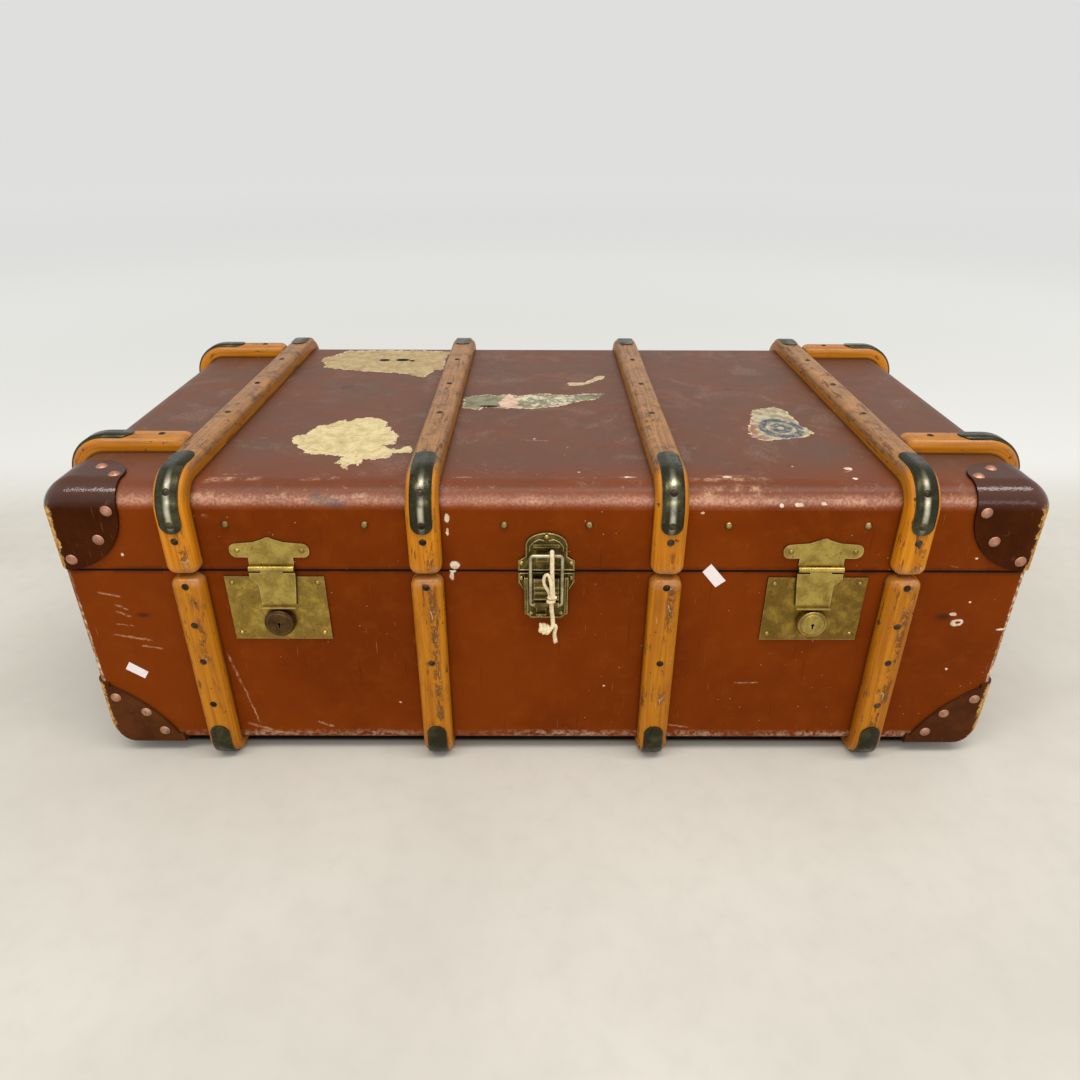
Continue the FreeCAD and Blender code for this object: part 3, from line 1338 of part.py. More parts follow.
# ---------------------------------------------------------------------------------------------
# End handles
# ---------------------------------------------------------------------------------------------
def build_handles():
    z = number("handle_z")
    brackets = []
    half_eye = number("handle_wid") / 2
    lug_in = half_eye + number("side_gap")
    lug_out = lug_in + number("lug_thk")
    eye, pin = number("handle_eye"), number("handle_pin")
    for side, sign in SIDES:
        wall = number("half_len")
        plate_face = wall + number("bracket_thk")
        axis_x = wall + number("handle_x_gap")
        for end in (-1, 1):
            y = end * number("handle_span") / 2
            half_wid, half_hgt = number("bracket_wid") / 2, number("bracket_hgt") / 2
            bracket = block(wall, plate_face, y - half_wid, y + half_wid, z - half_hgt, z + half_hgt)
            bracket = bracket.makeFillet(BRACKET_INSET, [edge for edge in bracket.Edges if along(edge, 0)])
            for a, b in ((-lug_out, -lug_in), (lug_in, lug_out)):
                lug = Part.makeCylinder(eye, b - a, V(axis_x, y + a, z), V(0, 1, 0))
                lug = lug.fuse(block(wall, axis_x, y + a, y + b, z - eye, z + eye))
                bracket = bracket.fuse(lug)
            bracket = bracket.fuse(Part.makeCylinder(pin, 2 * lug_out, V(axis_x, y - lug_out, z), V(0, 1, 0)))
            bracket = bracket.removeSplitter()
            brackets.append(bracket if sign > 0 else bracket.mirror(V(0, 0, 0), V(1, 0, 0)))

        blank = new_body("handle_%s_blank" % side)
        out_y, in_y = "(handle_span/2 + handle_wid/2)", "(handle_span/2 - handle_wid/2)"
        low = "(handle_z - handle_straight)"
        start = "half_len + handle_x_gap - handle_thk/2"
        pad(blank, YZ, start if sign > 0 else "-(%s) - handle_thk" % start, "handle_thk", [
            ("-" + out_y, "handle_z"),
            ("-" + out_y, low, "(%s^2 + handle_sag^2)/(2*handle_sag)" % out_y),
            (out_y, low),
            (out_y, "handle_z"),
            (in_y, "handle_z"),
            (in_y, low, "-((%s^2 + (handle_sag - handle_wid/2)^2)/(2*(handle_sag - handle_wid/2)))" % in_y),
            ("-" + in_y, low),
            ("-" + in_y, "handle_z"),
        ])
        span = number("handle_wid")
        round_edges(blank, "handle_thk/3", lambda edge: hasattr(edge.Curve, "Radius") and edge.Length > span)
        strap = blank.Shape
        for end in (-1, 1):
            y = end * number("handle_span") / 2
            tube = Part.makeCylinder(eye, 2 * half_eye, V(sign * axis_x, y - half_eye, z), V(0, 1, 0))
            hole = Part.makeCylinder(pin + number("run_gap"), 2 * half_eye,
                                     V(sign * axis_x, y - half_eye, z), V(0, 1, 0))
            strap = strap.fuse(tube).cut(hole)
        node(feature("handle_" + side, strap.removeSplitter()))
    node(feature("handle_brackets", Part.makeCompound(brackets)))


lid_outer = build_lid_box()
base_outer = build_base_box()
build_rim()
build_lid_slats()
build_base_slats()
build_end_slats("lid", True)
build_end_slats("base", False)
build_caps()
build_nails()
build_corners(lid_outer, base_outer)
build_corner_rivets()
build_studs()
build_locks()
build_catch()
build_tie()
build_plate_rivets()
build_hinges()
build_handles()
doc.recompute()

# ---------------------------------------------------------------------------------------------
# Checks and export
# ---------------------------------------------------------------------------------------------
for item in doc.Objects:
    if "Invalid" in item.State or "Error" in item.State:
        raise ValueError("%s did not recompute: %s" % (item.Label, item.State))
for item in NODES:
    if item.Shape.isNull() or not item.Shape.isValid() or not item.Shape.Solids:
        raise ValueError(item.Label + " has no valid solid")

os.makedirs("parts", exist_ok=True)
for item in NODES:
    item.Shape.exportStep("parts/%s.step" % item.Label)
print(len(NODES), "parts written")
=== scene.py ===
import math
import random

import bmesh
import bpy
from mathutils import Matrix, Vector


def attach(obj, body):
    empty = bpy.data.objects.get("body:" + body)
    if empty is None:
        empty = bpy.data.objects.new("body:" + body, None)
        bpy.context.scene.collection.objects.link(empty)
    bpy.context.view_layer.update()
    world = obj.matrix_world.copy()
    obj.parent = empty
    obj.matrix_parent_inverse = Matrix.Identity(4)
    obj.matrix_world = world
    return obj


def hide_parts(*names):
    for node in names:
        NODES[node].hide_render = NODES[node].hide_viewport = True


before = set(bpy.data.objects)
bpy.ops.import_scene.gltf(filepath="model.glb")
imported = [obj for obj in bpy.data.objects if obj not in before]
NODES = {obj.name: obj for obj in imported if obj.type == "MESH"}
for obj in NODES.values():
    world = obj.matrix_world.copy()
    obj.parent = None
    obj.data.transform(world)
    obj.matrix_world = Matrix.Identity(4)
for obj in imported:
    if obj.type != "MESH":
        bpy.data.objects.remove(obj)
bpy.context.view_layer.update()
SCENE = bpy.context.scene

# The trunk, in metres: half its length and depth, the seam, the top of the lid and the floor of the box.
HALF_LEN, HALF_DEP = 0.457, 0.241
SEAM_Z, TOP_Z, FLOOR_Z = 0.224, 0.309, 0.015
LID_RAD, END_RAD, FOOT_RAD = 0.022, 0.024, 0.01
SLAT_PITCH = 0.224
END_SLAT_FRONT, END_SLAT_REAR = -0.146, 0.193
MM = 0.001


def link(obj):
    SCENE.collection.objects.link(obj)
    return obj


# ---- Camera ----
CAMERA_PLACE = (-0.0069, -0.8934, 0.6087)
CAMERA_TURN = (90 - 28.206, -0.145, 0.003)
SENSOR_WIDTH, LENS, SHIFT_UP = 36, 26.8, -2 / 1080


def make_camera():
    data = bpy.data.cameras.new("camera")
    data.sensor_width = SENSOR_WIDTH
    data.lens = LENS
    data.shift_y = SHIFT_UP
    cam = link(bpy.data.objects.new("camera", data))
    cam.location = CAMERA_PLACE
    cam.rotation_euler = [math.radians(a) for a in CAMERA_TURN]
    SCENE.camera = cam


make_camera()


# ---- Material graphs ----
class Graph:
    """A material's nodes, built by short calls, and its colour, built up in layers."""

    def __init__(self, name):
        self.colour = None
        self.material = bpy.data.materials.new(name)
        self.material.use_nodes = True
        self.nodes = self.material.node_tree.nodes
        self.links = self.material.node_tree.links
        self.shader = self.nodes["Principled BSDF"]
        coords = self.nodes.new("ShaderNodeTexCoord")
        self.place = coords.outputs["Object"]
        self.x, self.y, self.z = self.split(self.place)
        self.right, self.back, self.up = self.split(coords.outputs["Normal"])

    def add(self, kind, inputs, output, **settings):
        node = self.nodes.new(kind)
        for key, value in settings.items():
            setattr(node, key, value)
        for key, value in inputs.items():
            self.feed(node.inputs[key], value)
        return node.outputs[output]

    def feed(self, socket, value):
        if isinstance(value, bpy.types.NodeSocket):
            self.links.new(value, socket)
        else:
            socket.default_value = value

    def split(self, vector):
        node = self.nodes.new("ShaderNodeSeparateXYZ")
        self.feed(node.inputs[0], vector)
        return node.outputs[0], node.outputs[1], node.outputs[2]

    def join(self, x, y, z):
        return self.add("ShaderNodeCombineXYZ", {0: x, 1: y, 2: z}, 0)

    def math(self, operation, a, b=0):
        return self.add("ShaderNodeMath", {0: a, 1: b}, 0, operation=operation)

    def plus(self, a, b):
        return self.math("ADD", a, b)

    def minus(self, a, b):
        return self.math("SUBTRACT", a, b)

    def times(self, a, *more):
        for b in more:
            a = self.math("MULTIPLY", a, b)
        return a

    def size(self, a):
        return self.math("ABSOLUTE", a)

    def flip(self, a):
        return self.math("SUBTRACT", 1, a)

    def larger(self, a, *more):
        for b in more:
            a = self.math("MAXIMUM", a, b)
        return a

    def ramp(self, value, low, high, out_low=0, out_high=1):
        """The value taken from low..high to out_low..out_high, smoothly and no further."""
        return self.add("ShaderNodeMapRange", {"Value": value, "From Min": low, "From Max": high,
                                               "To Min": out_low, "To Max": out_high},
                        "Result", interpolation_type="SMOOTHSTEP")

    def hill(self, value, low, peak_low, peak_high, high):
        """0 outside low..high and 1 between the peaks."""
        return self.times(self.ramp(value, low, peak_low), self.ramp(value, peak_high, high, 1, 0))

    def noise(self, scale, detail=3, roughness=0.55, vector=None, distortion=0):
        inputs = {"Vector": vector or self.place, "Scale": scale, "Detail": detail, "Roughness": roughness,
                  "Distortion": distortion}
        return self.add("ShaderNodeTexNoise", inputs, "Fac")

    def cells(self, scale, feature="F1"):
        return self.add("ShaderNodeTexVoronoi", {"Vector": self.place, "Scale": scale}, "Distance",
                        feature=feature)

    def stretch(self, scale, turn=(0, 0, 0), shift=(0, 0, 0)):
        """Coordinates scaled by three factors after a turn in degrees."""
        inputs = {"Vector": self.place, "Scale": scale, "Location": shift,
                  "Rotation": tuple(math.radians(a) for a in turn)}
        return self.add("ShaderNodeMapping", inputs, 0)

    def blend(self, share, a, b):
        node = self.nodes.new("ShaderNodeMix")
        node.data_type = "RGBA"
        for socket, value in ((node.inputs[0], share), (node.inputs[6], a), (node.inputs[7], b)):
            if isinstance(value, tuple) and len(value) == 3:
                value = value + (1,)
            self.feed(socket, value)
        return node.outputs[2]

    def lay(self, tone, *masks):
        """Paint a tone over the colour, as strongly as the masks multiplied."""
        self.colour = self.blend(self.times(*masks), self.colour, tone)

    def bump(self, height, distance, strength=1, after=None):
        inputs = {"Height": height, "Distance": distance, "Strength": strength}
        if after is not None:
            inputs["Normal"] = after
        return self.add("ShaderNodeBump", inputs, 0)

    def edges(self, radius, low=0.03, high=0.16):
        """1 along the piece's edges, 0 on its flats."""
        normal = self.nodes.new("ShaderNodeNewGeometry").outputs["Normal"]
        soft = self.add("ShaderNodeBevel", {"Radius": radius}, 0, samples=4)
        likeness = self.add("ShaderNodeVectorMath", {0: normal, 1: soft}, "Value", operation="DOT_PRODUCT")
        return self.ramp(self.flip(likeness), low, high)

    def recess(self, depth, low=0.35, high=0.85):
        """1 in corners and beside raised neighbours, 0 in the open."""
        open_share = self.add("ShaderNodeAmbientOcclusion", {"Distance": depth}, "AO", samples=4)
        return self.ramp(open_share, low, high, 1, 0)

    def near(self, point, radius, soft, stretch_by=(1, 1, 1)):
        """1 round a point (x, y, z), 0 beyond the radius."""
        moved = self.add("ShaderNodeVectorMath", {0: self.place, 1: point}, 0, operation="SUBTRACT")
        scaled = self.add("ShaderNodeVectorMath", {0: moved, 1: stretch_by}, 0, operation="MULTIPLY")
        distance = self.add("ShaderNodeVectorMath", {0: scaled}, "Value", operation="LENGTH")
        return self.ramp(distance, radius * (1 - soft), radius, 1, 0)

    def warped(self, reach=0.0022):
        """The three coordinates moved a little this way and that, for marks with ragged outlines."""
        moved = [self.noise(230, 4, 0.65, self.stretch((1, 1, 1), shift=(k * 3.3, k * 1.7, k * 5.1)))
                 for k in (1, 2, 3)]
        return [self.plus(own, self.times(self.minus(other, 0.5), 2 * reach))
                for own, other in zip((self.x, self.y, self.z), moved)]

    def line(self, u, v, start, stop, width):
        """1 along a straight mark between two points (u, v) in millimetres."""
        (x0, v0), (x1, v1) = start, stop
        length = math.hypot(x1 - x0, v1 - v0)
        ux, uv = (x1 - x0) / length, (v1 - v0) / length
        dx = self.minus(u, (x0 + x1) / 2 * MM)
        dv = self.minus(v, (v0 + v1) / 2 * MM)
        along = self.size(self.plus(self.times(dx, ux), self.times(dv, uv)))
        aside = self.size(self.minus(self.times(dv, ux), self.times(dx, uv)))
        half, wide = length / 2 * MM, width / 2 * MM
        return self.times(self.ramp(along, half * 0.7, half + wide, 1, 0),
                          self.ramp(aside, wide * 0.3, wide * 1.5, 1, 0))

    def scratches(self, turn, density, width, length, seed):
        """Thin broken lines along a turned axis."""
        lines = self.noise(1, 2, 0.5, self.stretch((1 / width, 1 / width, 1 / length), turn,
                                                       (seed, seed * 0.37, seed * 0.71)))
        return self.ramp(lines, density, density + 0.05)

    def coat(self, bend, top, side, share=1, climb=(0.02, 0.55), fall=(0.72, 0.99)):
        """Gloss that is strongest where the surface turns from side to top.

        climb and fall are the spans of the normal's upward part in which the gloss comes and goes.
        """
        rise = self.ramp(self.up, *climb, side, bend)
        self.feed(self.shader.inputs["Coat Weight"],
                  self.times(rise, self.ramp(self.up, *fall, 1, top / bend), share))

    def finish(self, roughness, normal=None, **fixed):
        self.feed(self.shader.inputs["Base Color"], self.colour)
        self.feed(self.shader.inputs["Roughness"], roughness)
        if normal is not None:
            self.feed(self.shader.inputs["Normal"], normal)
            self.feed(self.shader.inputs["Coat Normal"], normal)
        for key, value in fixed.items():
            self.shader.inputs[key.replace("_", " ")].default_value = value
        return self.material


# ---- Covering ----
RED_PATCH = (0.212, -0.088, TOP_Z)
# Marks on the front, (x, z), and on the top, (x, y), in millimetres. A chip has a middle, half a width and
# half a height; a line has two ends and a width.
LID_CHIPS = [
    (-91, 279, 2.4, 4.8), (-91, 265, 1.5, 4.2), (-86, 230, 5, 4.6), (212, 292, 2.4, 2),
    (228, 293, 4, 2), (250, 294, 2.4, 1.6), (141, 285, 2, 1.6), (-395, 240, 1.4, 1.8),
    (402, 238, 1.2, 1)]
LID_TOP_CHIPS = [
    (166, -215, 5, 1.8), (284, -195, 4, 3.4), (283, -218, 2.4, 2.4), (75, -216, 4, 1.2),
    (-12, -120, 1.2, 1.2), (-118, -196, 2.4, 2), (233, -190, 1.2, 1.2), (30, -205, 1.6, 1)]
BASE_CHIPS = [
    (395, 176, 3.6, 2), (446, 158, 4.8, 1.5), (454, 151, 1.6, 2.4), (-89, 218, 2.4, 4.6),
    (-88, 224, 3.2, 3), (408, 190, 1.4, 1.2), (352, 118, 1.2, 1.2), (404, 110, 1.2, 1.6),
    (-350, 190, 1.2, 1.2), (60, 88, 1.4, 1.2), (-103, 150, 4.4, 2.2), (-150, 66, 1.2, 1.2),
    (-330, 62, 1.4, 1.2)]
BASE_LINES = [
    ((-318, 130), (-309, 86), 2.4), ((-309, 90), (-299, 37), 1.8), ((-312, 38), (-284, 27), 3.4),
    ((-300, 28), (-262, 23), 3), ((-430, 199), (-408, 194), 2), ((-415, 185), (-404, 179), 2.2),
    ((-417, 178), (-403, 171), 2.2), ((-420, 163), (-402, 160), 1.4), ((-426, 150), (-388, 143), 2),
    ((-402, 137), (-380, 133), 1.8), ((192, 92), (217, 92), 1.6), ((120, 38), (152, 33), 2),
    ((-240, 40), (-222, 34), 3)]
LID_LINES = [
    ((-330, 299), (-285, 301), 6), ((-268, 299), (-232, 300), 5), ((-200, 298), (-160, 300), 3.5),
    ((132, 301), (198, 303), 9), ((138, 295), (215, 296), 5), ((-322, 280), (-308, 281), 3),
    ((-140, 234), (-122, 232), 1.6), ((378, 230), (395, 228), 2), ((-398, 262), (-388, 276), 2.6)]
LID_TOP_LINES = [
    ((-28, -122), (6, -126), 1.4), ((22, -140), (17, -166), 1.3), ((-300, -120), (-280, -118), 1.6),
    ((5, -217), (13, -217), 1.8), ((17, -217), (23, -217), 1.6), ((28, -217), (37, -218), 1.8),
    ((43, -218), (57, -218), 2.4), ((65, -216), (84, -216), 3), ((130, -221), (205, -219), 7),
    ((150, -213), (190, -212), 2.4), ((-325, -223), (-262, -219), 8), ((-300, -212), (-275, -210), 4),
    ((-225, -222), (-190, -219), 5), ((-85, -217), (-60, -217), 2), ((275, -206), (288, -196), 3)]


def dots(g, u, v, places):
    """Small marks at places given as middle, half width and half height."""
    mask = 0
    for u0, v0, wide, high in places:
        du = g.times(g.minus(u, u0 * MM), 1 / (wide * MM))
        dv = g.times(g.minus(v, v0 * MM), 1 / (high * MM))
        spot = g.ramp(g.plus(g.times(du, du), g.times(dv, dv)), 0.5, 1.2, 1, 0)
        mask = spot if mask == 0 else g.larger(mask, spot)
    return mask


def lines(g, u, v, places):
    """Straight worn marks between two points, with a width."""
    mask = 0
    for start, stop, width in places:
        mask = g.larger(g.line(u, v, start, stop, width), mask)
    return mask


def covering(name, lid):
    """Red-brown leathercloth: fine grain, darker mottling, scratches, chips and rubbed edges."""
    g = Graph(name)
    broad = g.noise(7, 4, 0.6)
    small = g.noise(46, 4, 0.65)
    g.colour = g.blend(g.ramp(broad, 0.35, 0.7), (0.198, 0.035, 0.0016), (0.152, 0.025, 0.0012))
    g.lay((0.235, 0.052, 0.0045), g.ramp(small, 0.45, 0.75, 0, 0.35))
    ahead = g.ramp(g.y, -0.1, -0.15)
    front = g.times(g.ramp(g.back, -0.15, -0.6), ahead)
    top = g.ramp(g.up, 0.35, 0.85)
    if lid:
        dull = g.ramp(g.noise(13, 5, 0.7), 0.3, 0.7, 0.6, 1)
        far = g.ramp(g.y, -0.224, -0.165, 0.45, 1)
        g.lay((0.112, 0.051, 0.029), top, dull, far)
        stain = g.times(top, g.ramp(g.noise(30, 5, 0.75, distortion=0.6), 0.6, 0.72))
        g.lay((0.04, 0.02, 0.013), stain, 0.6)
        # painted highlight: the bend is lightened to a pinkish sheen, in a fine grain
        bend = g.times(g.hill(g.up, 0.03, 0.38, 0.42, 0.74),
                       g.ramp(g.noise(26, 4, 0.7), 0.3, 0.7, 0.4, 1),
                       g.ramp(g.noise(420, 2, 0.5), 0.35, 0.65, 0.35, 1))
        g.lay((0.6, 0.28, 0.16), bend, 0.88)
        dust = g.times(top, g.ramp(g.noise(17, 5, 0.7, distortion=0.8), 0.52, 0.66),
                       g.ramp(g.noise(330, 3, 0.7), 0.4, 0.6))
        g.lay((0.27, 0.175, 0.12), dust, 0.42)
    # grime streaks and light scratches
    streak = g.scratches((0, 12, 0), 0.7, 0.0032, 0.09, 3.1)
    g.lay((0.07, 0.014, 0.002), streak, 0.45)
    light = g.larger(g.scratches((0, 35, 20), 0.715, 0.0016, 0.045, 7.7),
                     g.scratches((0, -50, -30), 0.725, 0.0014, 0.03, 11.9))
    light = g.times(light, g.ramp(g.noise(9, 2), 0.45, 0.65))
    # rubbed places along the edges of the half
    if lid:
        edge = g.times(g.hill(g.z, TOP_Z - 0.026, TOP_Z - 0.01, TOP_Z - 0.004, TOP_Z - 0.0015), 0.85)
        seam = g.minus(g.z, SEAM_Z)
    else:
        edge = g.ramp(g.z, FLOOR_Z + 0.003, FLOOR_Z + 0.03, 1, 0)
        seam = g.minus(SEAM_Z, g.z)
        frayed = g.times(g.hill(g.z, FLOOR_Z + 0.002, FLOOR_Z + 0.006, FLOOR_Z + 0.009, FLOOR_Z + 0.016),
                         g.ramp(g.noise(150, 5, 0.8), 0.42, 0.6),
                         g.ramp(g.noise(8, 3), 0.38, 0.56, 0.25, 1))
        g.lay((0.52, 0.36, 0.25), frayed, 0.75)
    chips = g.ramp(g.noise(120, 5, 0.75, distortion=0.3), 0.6, 0.66)
    worn = g.times(chips, g.ramp(g.plus(edge, g.ramp(seam, 0.001, 0.006, 0.4, 0)), 0.2, 1, 0, 0.7))
    g.lay((0.44, 0.2, 0.09), g.larger(worn, g.times(light, 0.6)))
    # the upright edges have lost their skin in ragged patches
    post = g.ramp(g.size(g.times(g.right, g.back)), 0.1, 0.45)
    ragged = g.ramp(g.plus(post, g.times(g.noise(75, 5, 0.75, distortion=0.5), 1.8)), 1.66, 1.8)
    ragged = g.times(ragged, g.ramp(post, 0.25, 0.6), g.ramp(g.noise(16, 3), 0.4, 0.55, 0.25, 1))
    bared = g.blend(g.ramp(g.noise(160, 3), 0.4, 0.62), (0.36, 0.16, 0.055), (0.82, 0.66, 0.45))
    g.lay(bared, ragged, 0.9)
    # dirt and painted contact shade beside everything that stands on the covering, and the black line of the
    # seam
    dirt = g.recess(0.006, 0.3, 0.8)
    g.lay((0.03, 0.009, 0.003), dirt, 0.6)
    grime = g.times(g.ramp(seam, 0.001, 0.006, 1, 0), g.ramp(g.noise(60), 0.3, 0.7, 0.1, 0.65))
    g.lay((0.05, 0.013, 0.004), grime)
    g.lay((0.006, 0.004, 0.003), g.ramp(seam, 0.0008, 0.0016, 0.97, 0))
    # white specks of dust and paint
    specks = g.times(g.ramp(g.cells(95), 0.045, 0.075, 1, 0),
                     g.ramp(g.noise(6, 2), 0.54, 0.62))
    g.lay((0.58, 0.4, 0.27), specks, 0.5)
    # single marks
    u, y, z = g.warped()
    if lid:
        marks = g.larger(g.times(dots(g, u, z, LID_CHIPS), front),
                         g.times(dots(g, u, y, LID_TOP_CHIPS), top))
        rubs = g.larger(g.times(lines(g, u, z, LID_LINES), g.ramp(g.back, -0.02, -0.3), ahead),
                        g.times(lines(g, u, y, LID_TOP_LINES), top))
        scuff = g.times(g.line(u, z, (-214, 297), (-183, 293), 9),
                        g.ramp(g.noise(90, 4, 0.7), 0.34, 0.6))
        red = g.times(g.near(RED_PATCH, 0.013, 0.9),
                      g.ramp(g.noise(120, 4, 0.7), 0.4, 0.6))
        g.lay((0.26, 0.075, 0.035), red)
    else:
        ring = g.minus(dots(g, u, z, [(401, 166, 6.6, 4.4)]), dots(g, u, z, [(402, 166, 3.2, 1.6)]))
        marks = g.times(g.larger(dots(g, u, z, BASE_CHIPS), ring), front)
        rubs = g.times(lines(g, u, z, BASE_LINES), front)
        scuff = g.larger(g.near((-0.391, -HALF_DEP, 0.173), 0.0075, 0.9, (0.7, 1, 1.8)),
                         g.near((0.386, -HALF_DEP, 0.173), 0.009, 0.9, (0.7, 1, 1.5)))
    rubs = g.times(rubs, g.ramp(g.noise(170, 5, 0.8), 0.36, 0.6))
    if lid:
        rubs = g.times(rubs, g.ramp(g.noise(62, 4, 0.7), 0.42, 0.58))
    g.lay((0.085, 0.062, 0.052) if lid else (0.035, 0.016, 0.008), scuff, 0.75)
    g.lay((0.56, 0.32, 0.18), rubs, 0.7)
    tint = g.blend(g.ramp(g.noise(150, 3), 0.4, 0.6), (0.7, 0.5, 0.34), (0.86, 0.76, 0.62))
    g.lay(tint, marks, 0.92)
    grain = g.plus(g.times(g.cells(900), 0.6), g.times(g.noise(1400, 2), 0.5))
    normal = g.bump(grain, 0.00018, 0.55)
    normal = g.bump(g.noise(55, 3), 0.0006, 0.3, normal)
    normal = g.bump(g.flip(g.larger(worn, light, ragged, rubs)), 0.0003, 0.6, normal)
    rough = g.plus(g.ramp(small, 0.3, 0.75, 0.42, 0.55), g.times(g.larger(worn, ragged), 0.25))
    g.coat(1, 0.28, 0, climb=(0.06, 0.44), fall=(0.42, 0.72))
    return g.finish(rough, normal, Specular_IOR_Level=0.03, Coat_Roughness=0.34, Coat_IOR=1.75)


# ---- Bentwood ----
def bent_wood(name, axis, bend_x, bend_z, up, tone, dust=1):
    """Varnished bentwood whose grain follows the bend.

    axis is the slat's run in plan ("x" or "y"), bend_x and bend_z are the bend's centre lines, up is true
    on the lid, and dust is how dull the upper face is.
    """
    g = Graph(name)
    run, across = (g.x, g.y) if axis == "x" else (g.y, g.x)
    out = g.size(run)
    reach = g.larger(g.minus(out, bend_x), 0)
    lift = g.larger(g.minus(g.z, bend_z) if up else g.minus(bend_z, g.z), 0)
    depth = g.math("SQRT", g.plus(g.times(reach, reach), g.times(lift, lift)))
    along = g.minus(g.z, out) if up else g.plus(g.z, out)

    def grain(fine, coarse):
        return g.join(g.times(across, fine), g.times(depth, fine), g.times(along, coarse))

    fibre = g.noise(1, 4, 0.6, grain(900, 14))
    figure = g.noise(1, 3, 0.6, grain(150, 5), distortion=0.8)
    blotch = g.noise(24, 4, 0.6)
    light, dark = [tuple(v * tone for v in c) for c in ((0.66, 0.245, 0.0085), (0.47, 0.15, 0.0045))]
    g.colour = g.blend(g.ramp(figure, 0.32, 0.68), dark, light)
    g.lay((0.27, 0.075, 0.004), g.ramp(fibre, 0.5, 0.72, 0, 0.5))
    g.lay((0.28, 0.088, 0.008), g.ramp(blotch, 0.52, 0.75, 0, 0.55))
    if up:
        upper = g.times(g.ramp(g.up, 0.05, 0.45), g.ramp(reach, 0, 0.016, 1, 0.15))
        dusty = g.blend(g.ramp(fibre, 0.35, 0.7), (0.345, 0.17, 0.06), (0.205, 0.09, 0.033))
        dusty = g.blend(g.ramp(g.noise(60, 5, 0.75), 0.5, 0.66, 0, 0.8), dusty, (0.105, 0.048, 0.026))
        amber = g.ramp(g.noise(48, 4, 0.7), 0.54, 0.68, 0, 0.6)
        dusty = g.blend(amber, dusty, (0.46, 0.21, 0.04))
        g.lay(dusty, upper, g.ramp(blotch, 0.25, 0.55, 0.6, 1), dust)
    # painted shade at the foot of the slat, dark wear along its length and knocks on its corners
    inner = (LID_RAD if axis == "y" else END_RAD) if up else (FOOT_RAD if axis == "y" else END_RAD)
    foot_shade = g.larger(g.ramp(depth, inner + 0.0003, inner + 0.004, 1, 0), g.recess(0.004))
    # painted shade on the side faces of the lid's long slats
    if up and axis == "y":
        flank_shade = g.times(g.ramp(g.size(g.right), 0.55, 0.9), g.ramp(g.z, bend_z, bend_z + 0.02), 0.4)
        foot_shade = g.larger(foot_shade, flank_shade)
    g.lay((0.04, 0.015, 0.005), foot_shade, 0.85)
    wear = g.noise(1, 5, 0.75, grain(160, 24))
    wear = g.times(g.ramp(wear, 0.555, 0.615), g.ramp(g.noise(11, 3), 0.38, 0.56))
    if axis == "y":
        # knocked along a strip right of the middle of each slat
        offset = g.minus(g.math("FLOORED_MODULO", g.x, SLAT_PITCH), SLAT_PITCH / 2)
        strip = g.times(g.hill(offset, -0.001, 0.003, 0.007, 0.011), g.ramp(g.noise(18, 3), 0.42, 0.54),
                        g.ramp(g.up, 0.1, 0.5, 1, 0.15))
        scrape = g.noise(1, 5, 0.8, g.stretch((150, 150, 60)), distortion=0.6)
        bits = g.ramp(scrape, 0.6, 0.64)
        scrape = g.ramp(scrape, 0.47, 0.54)
        wear = g.larger(wear, g.times(strip, scrape))
    g.lay((0.11, 0.04, 0.014), wear, 0.8)
    if axis == "y":
        g.lay((0.62, 0.46, 0.3), strip, bits, 0.8)
    ends = g.size(g.minus(g.z, SEAM_Z))
    ends = g.times(g.ramp(ends, 0.004, 0.016, 1, 0), g.ramp(g.noise(85, 4, 0.7), 0.38, 0.58))
    g.lay((0.42, 0.205, 0.1), ends, 0.55)
    knocks = g.ramp(g.noise(90, 4, 0.7), 0.65, 0.69)
    g.lay((0.05, 0.02, 0.008), knocks, 0.85)
    pale = g.ramp(g.noise(1, 4, 0.7, g.stretch((140, 140, 60), shift=(5, 2, 9))), 0.66, 0.71)
    g.lay((0.6, 0.38, 0.18), pale, 0.5)
    normal = g.bump(fibre, 0.00025, 0.5)
    normal = g.bump(g.flip(g.larger(knocks, g.times(wear, 0.6))), 0.0006, 0.6, normal)
    rough = g.plus(g.ramp(blotch, 0.35, 0.7, 0.34, 0.5), g.times(g.larger(knocks, wear), 0.25))
    g.coat(0.55, 0.2, 0.05, g.ramp(g.size(g.right), 0.2, 0.55, 1, 0) if up and axis == "y" else 1)
    return g.finish(rough, normal, Specular_IOR_Level=0.14, Coat_Roughness=0.2)


def bare_wood(name):
    g = Graph(name)
    grain = g.noise(1, 4, 0.6, g.stretch((30, 30, 600)))
    g.colour = g.blend(g.ramp(grain, 0.35, 0.7), (0.42, 0.27, 0.13), (0.28, 0.16, 0.07))
    g.lay((0.13, 0.07, 0.035), g.ramp(g.noise(40, 4, 0.7), 0.55, 0.7), 0.5)
    return g.finish(0.6, g.bump(grain, 0.0003, 0.4), Specular_IOR_Level=0.25)


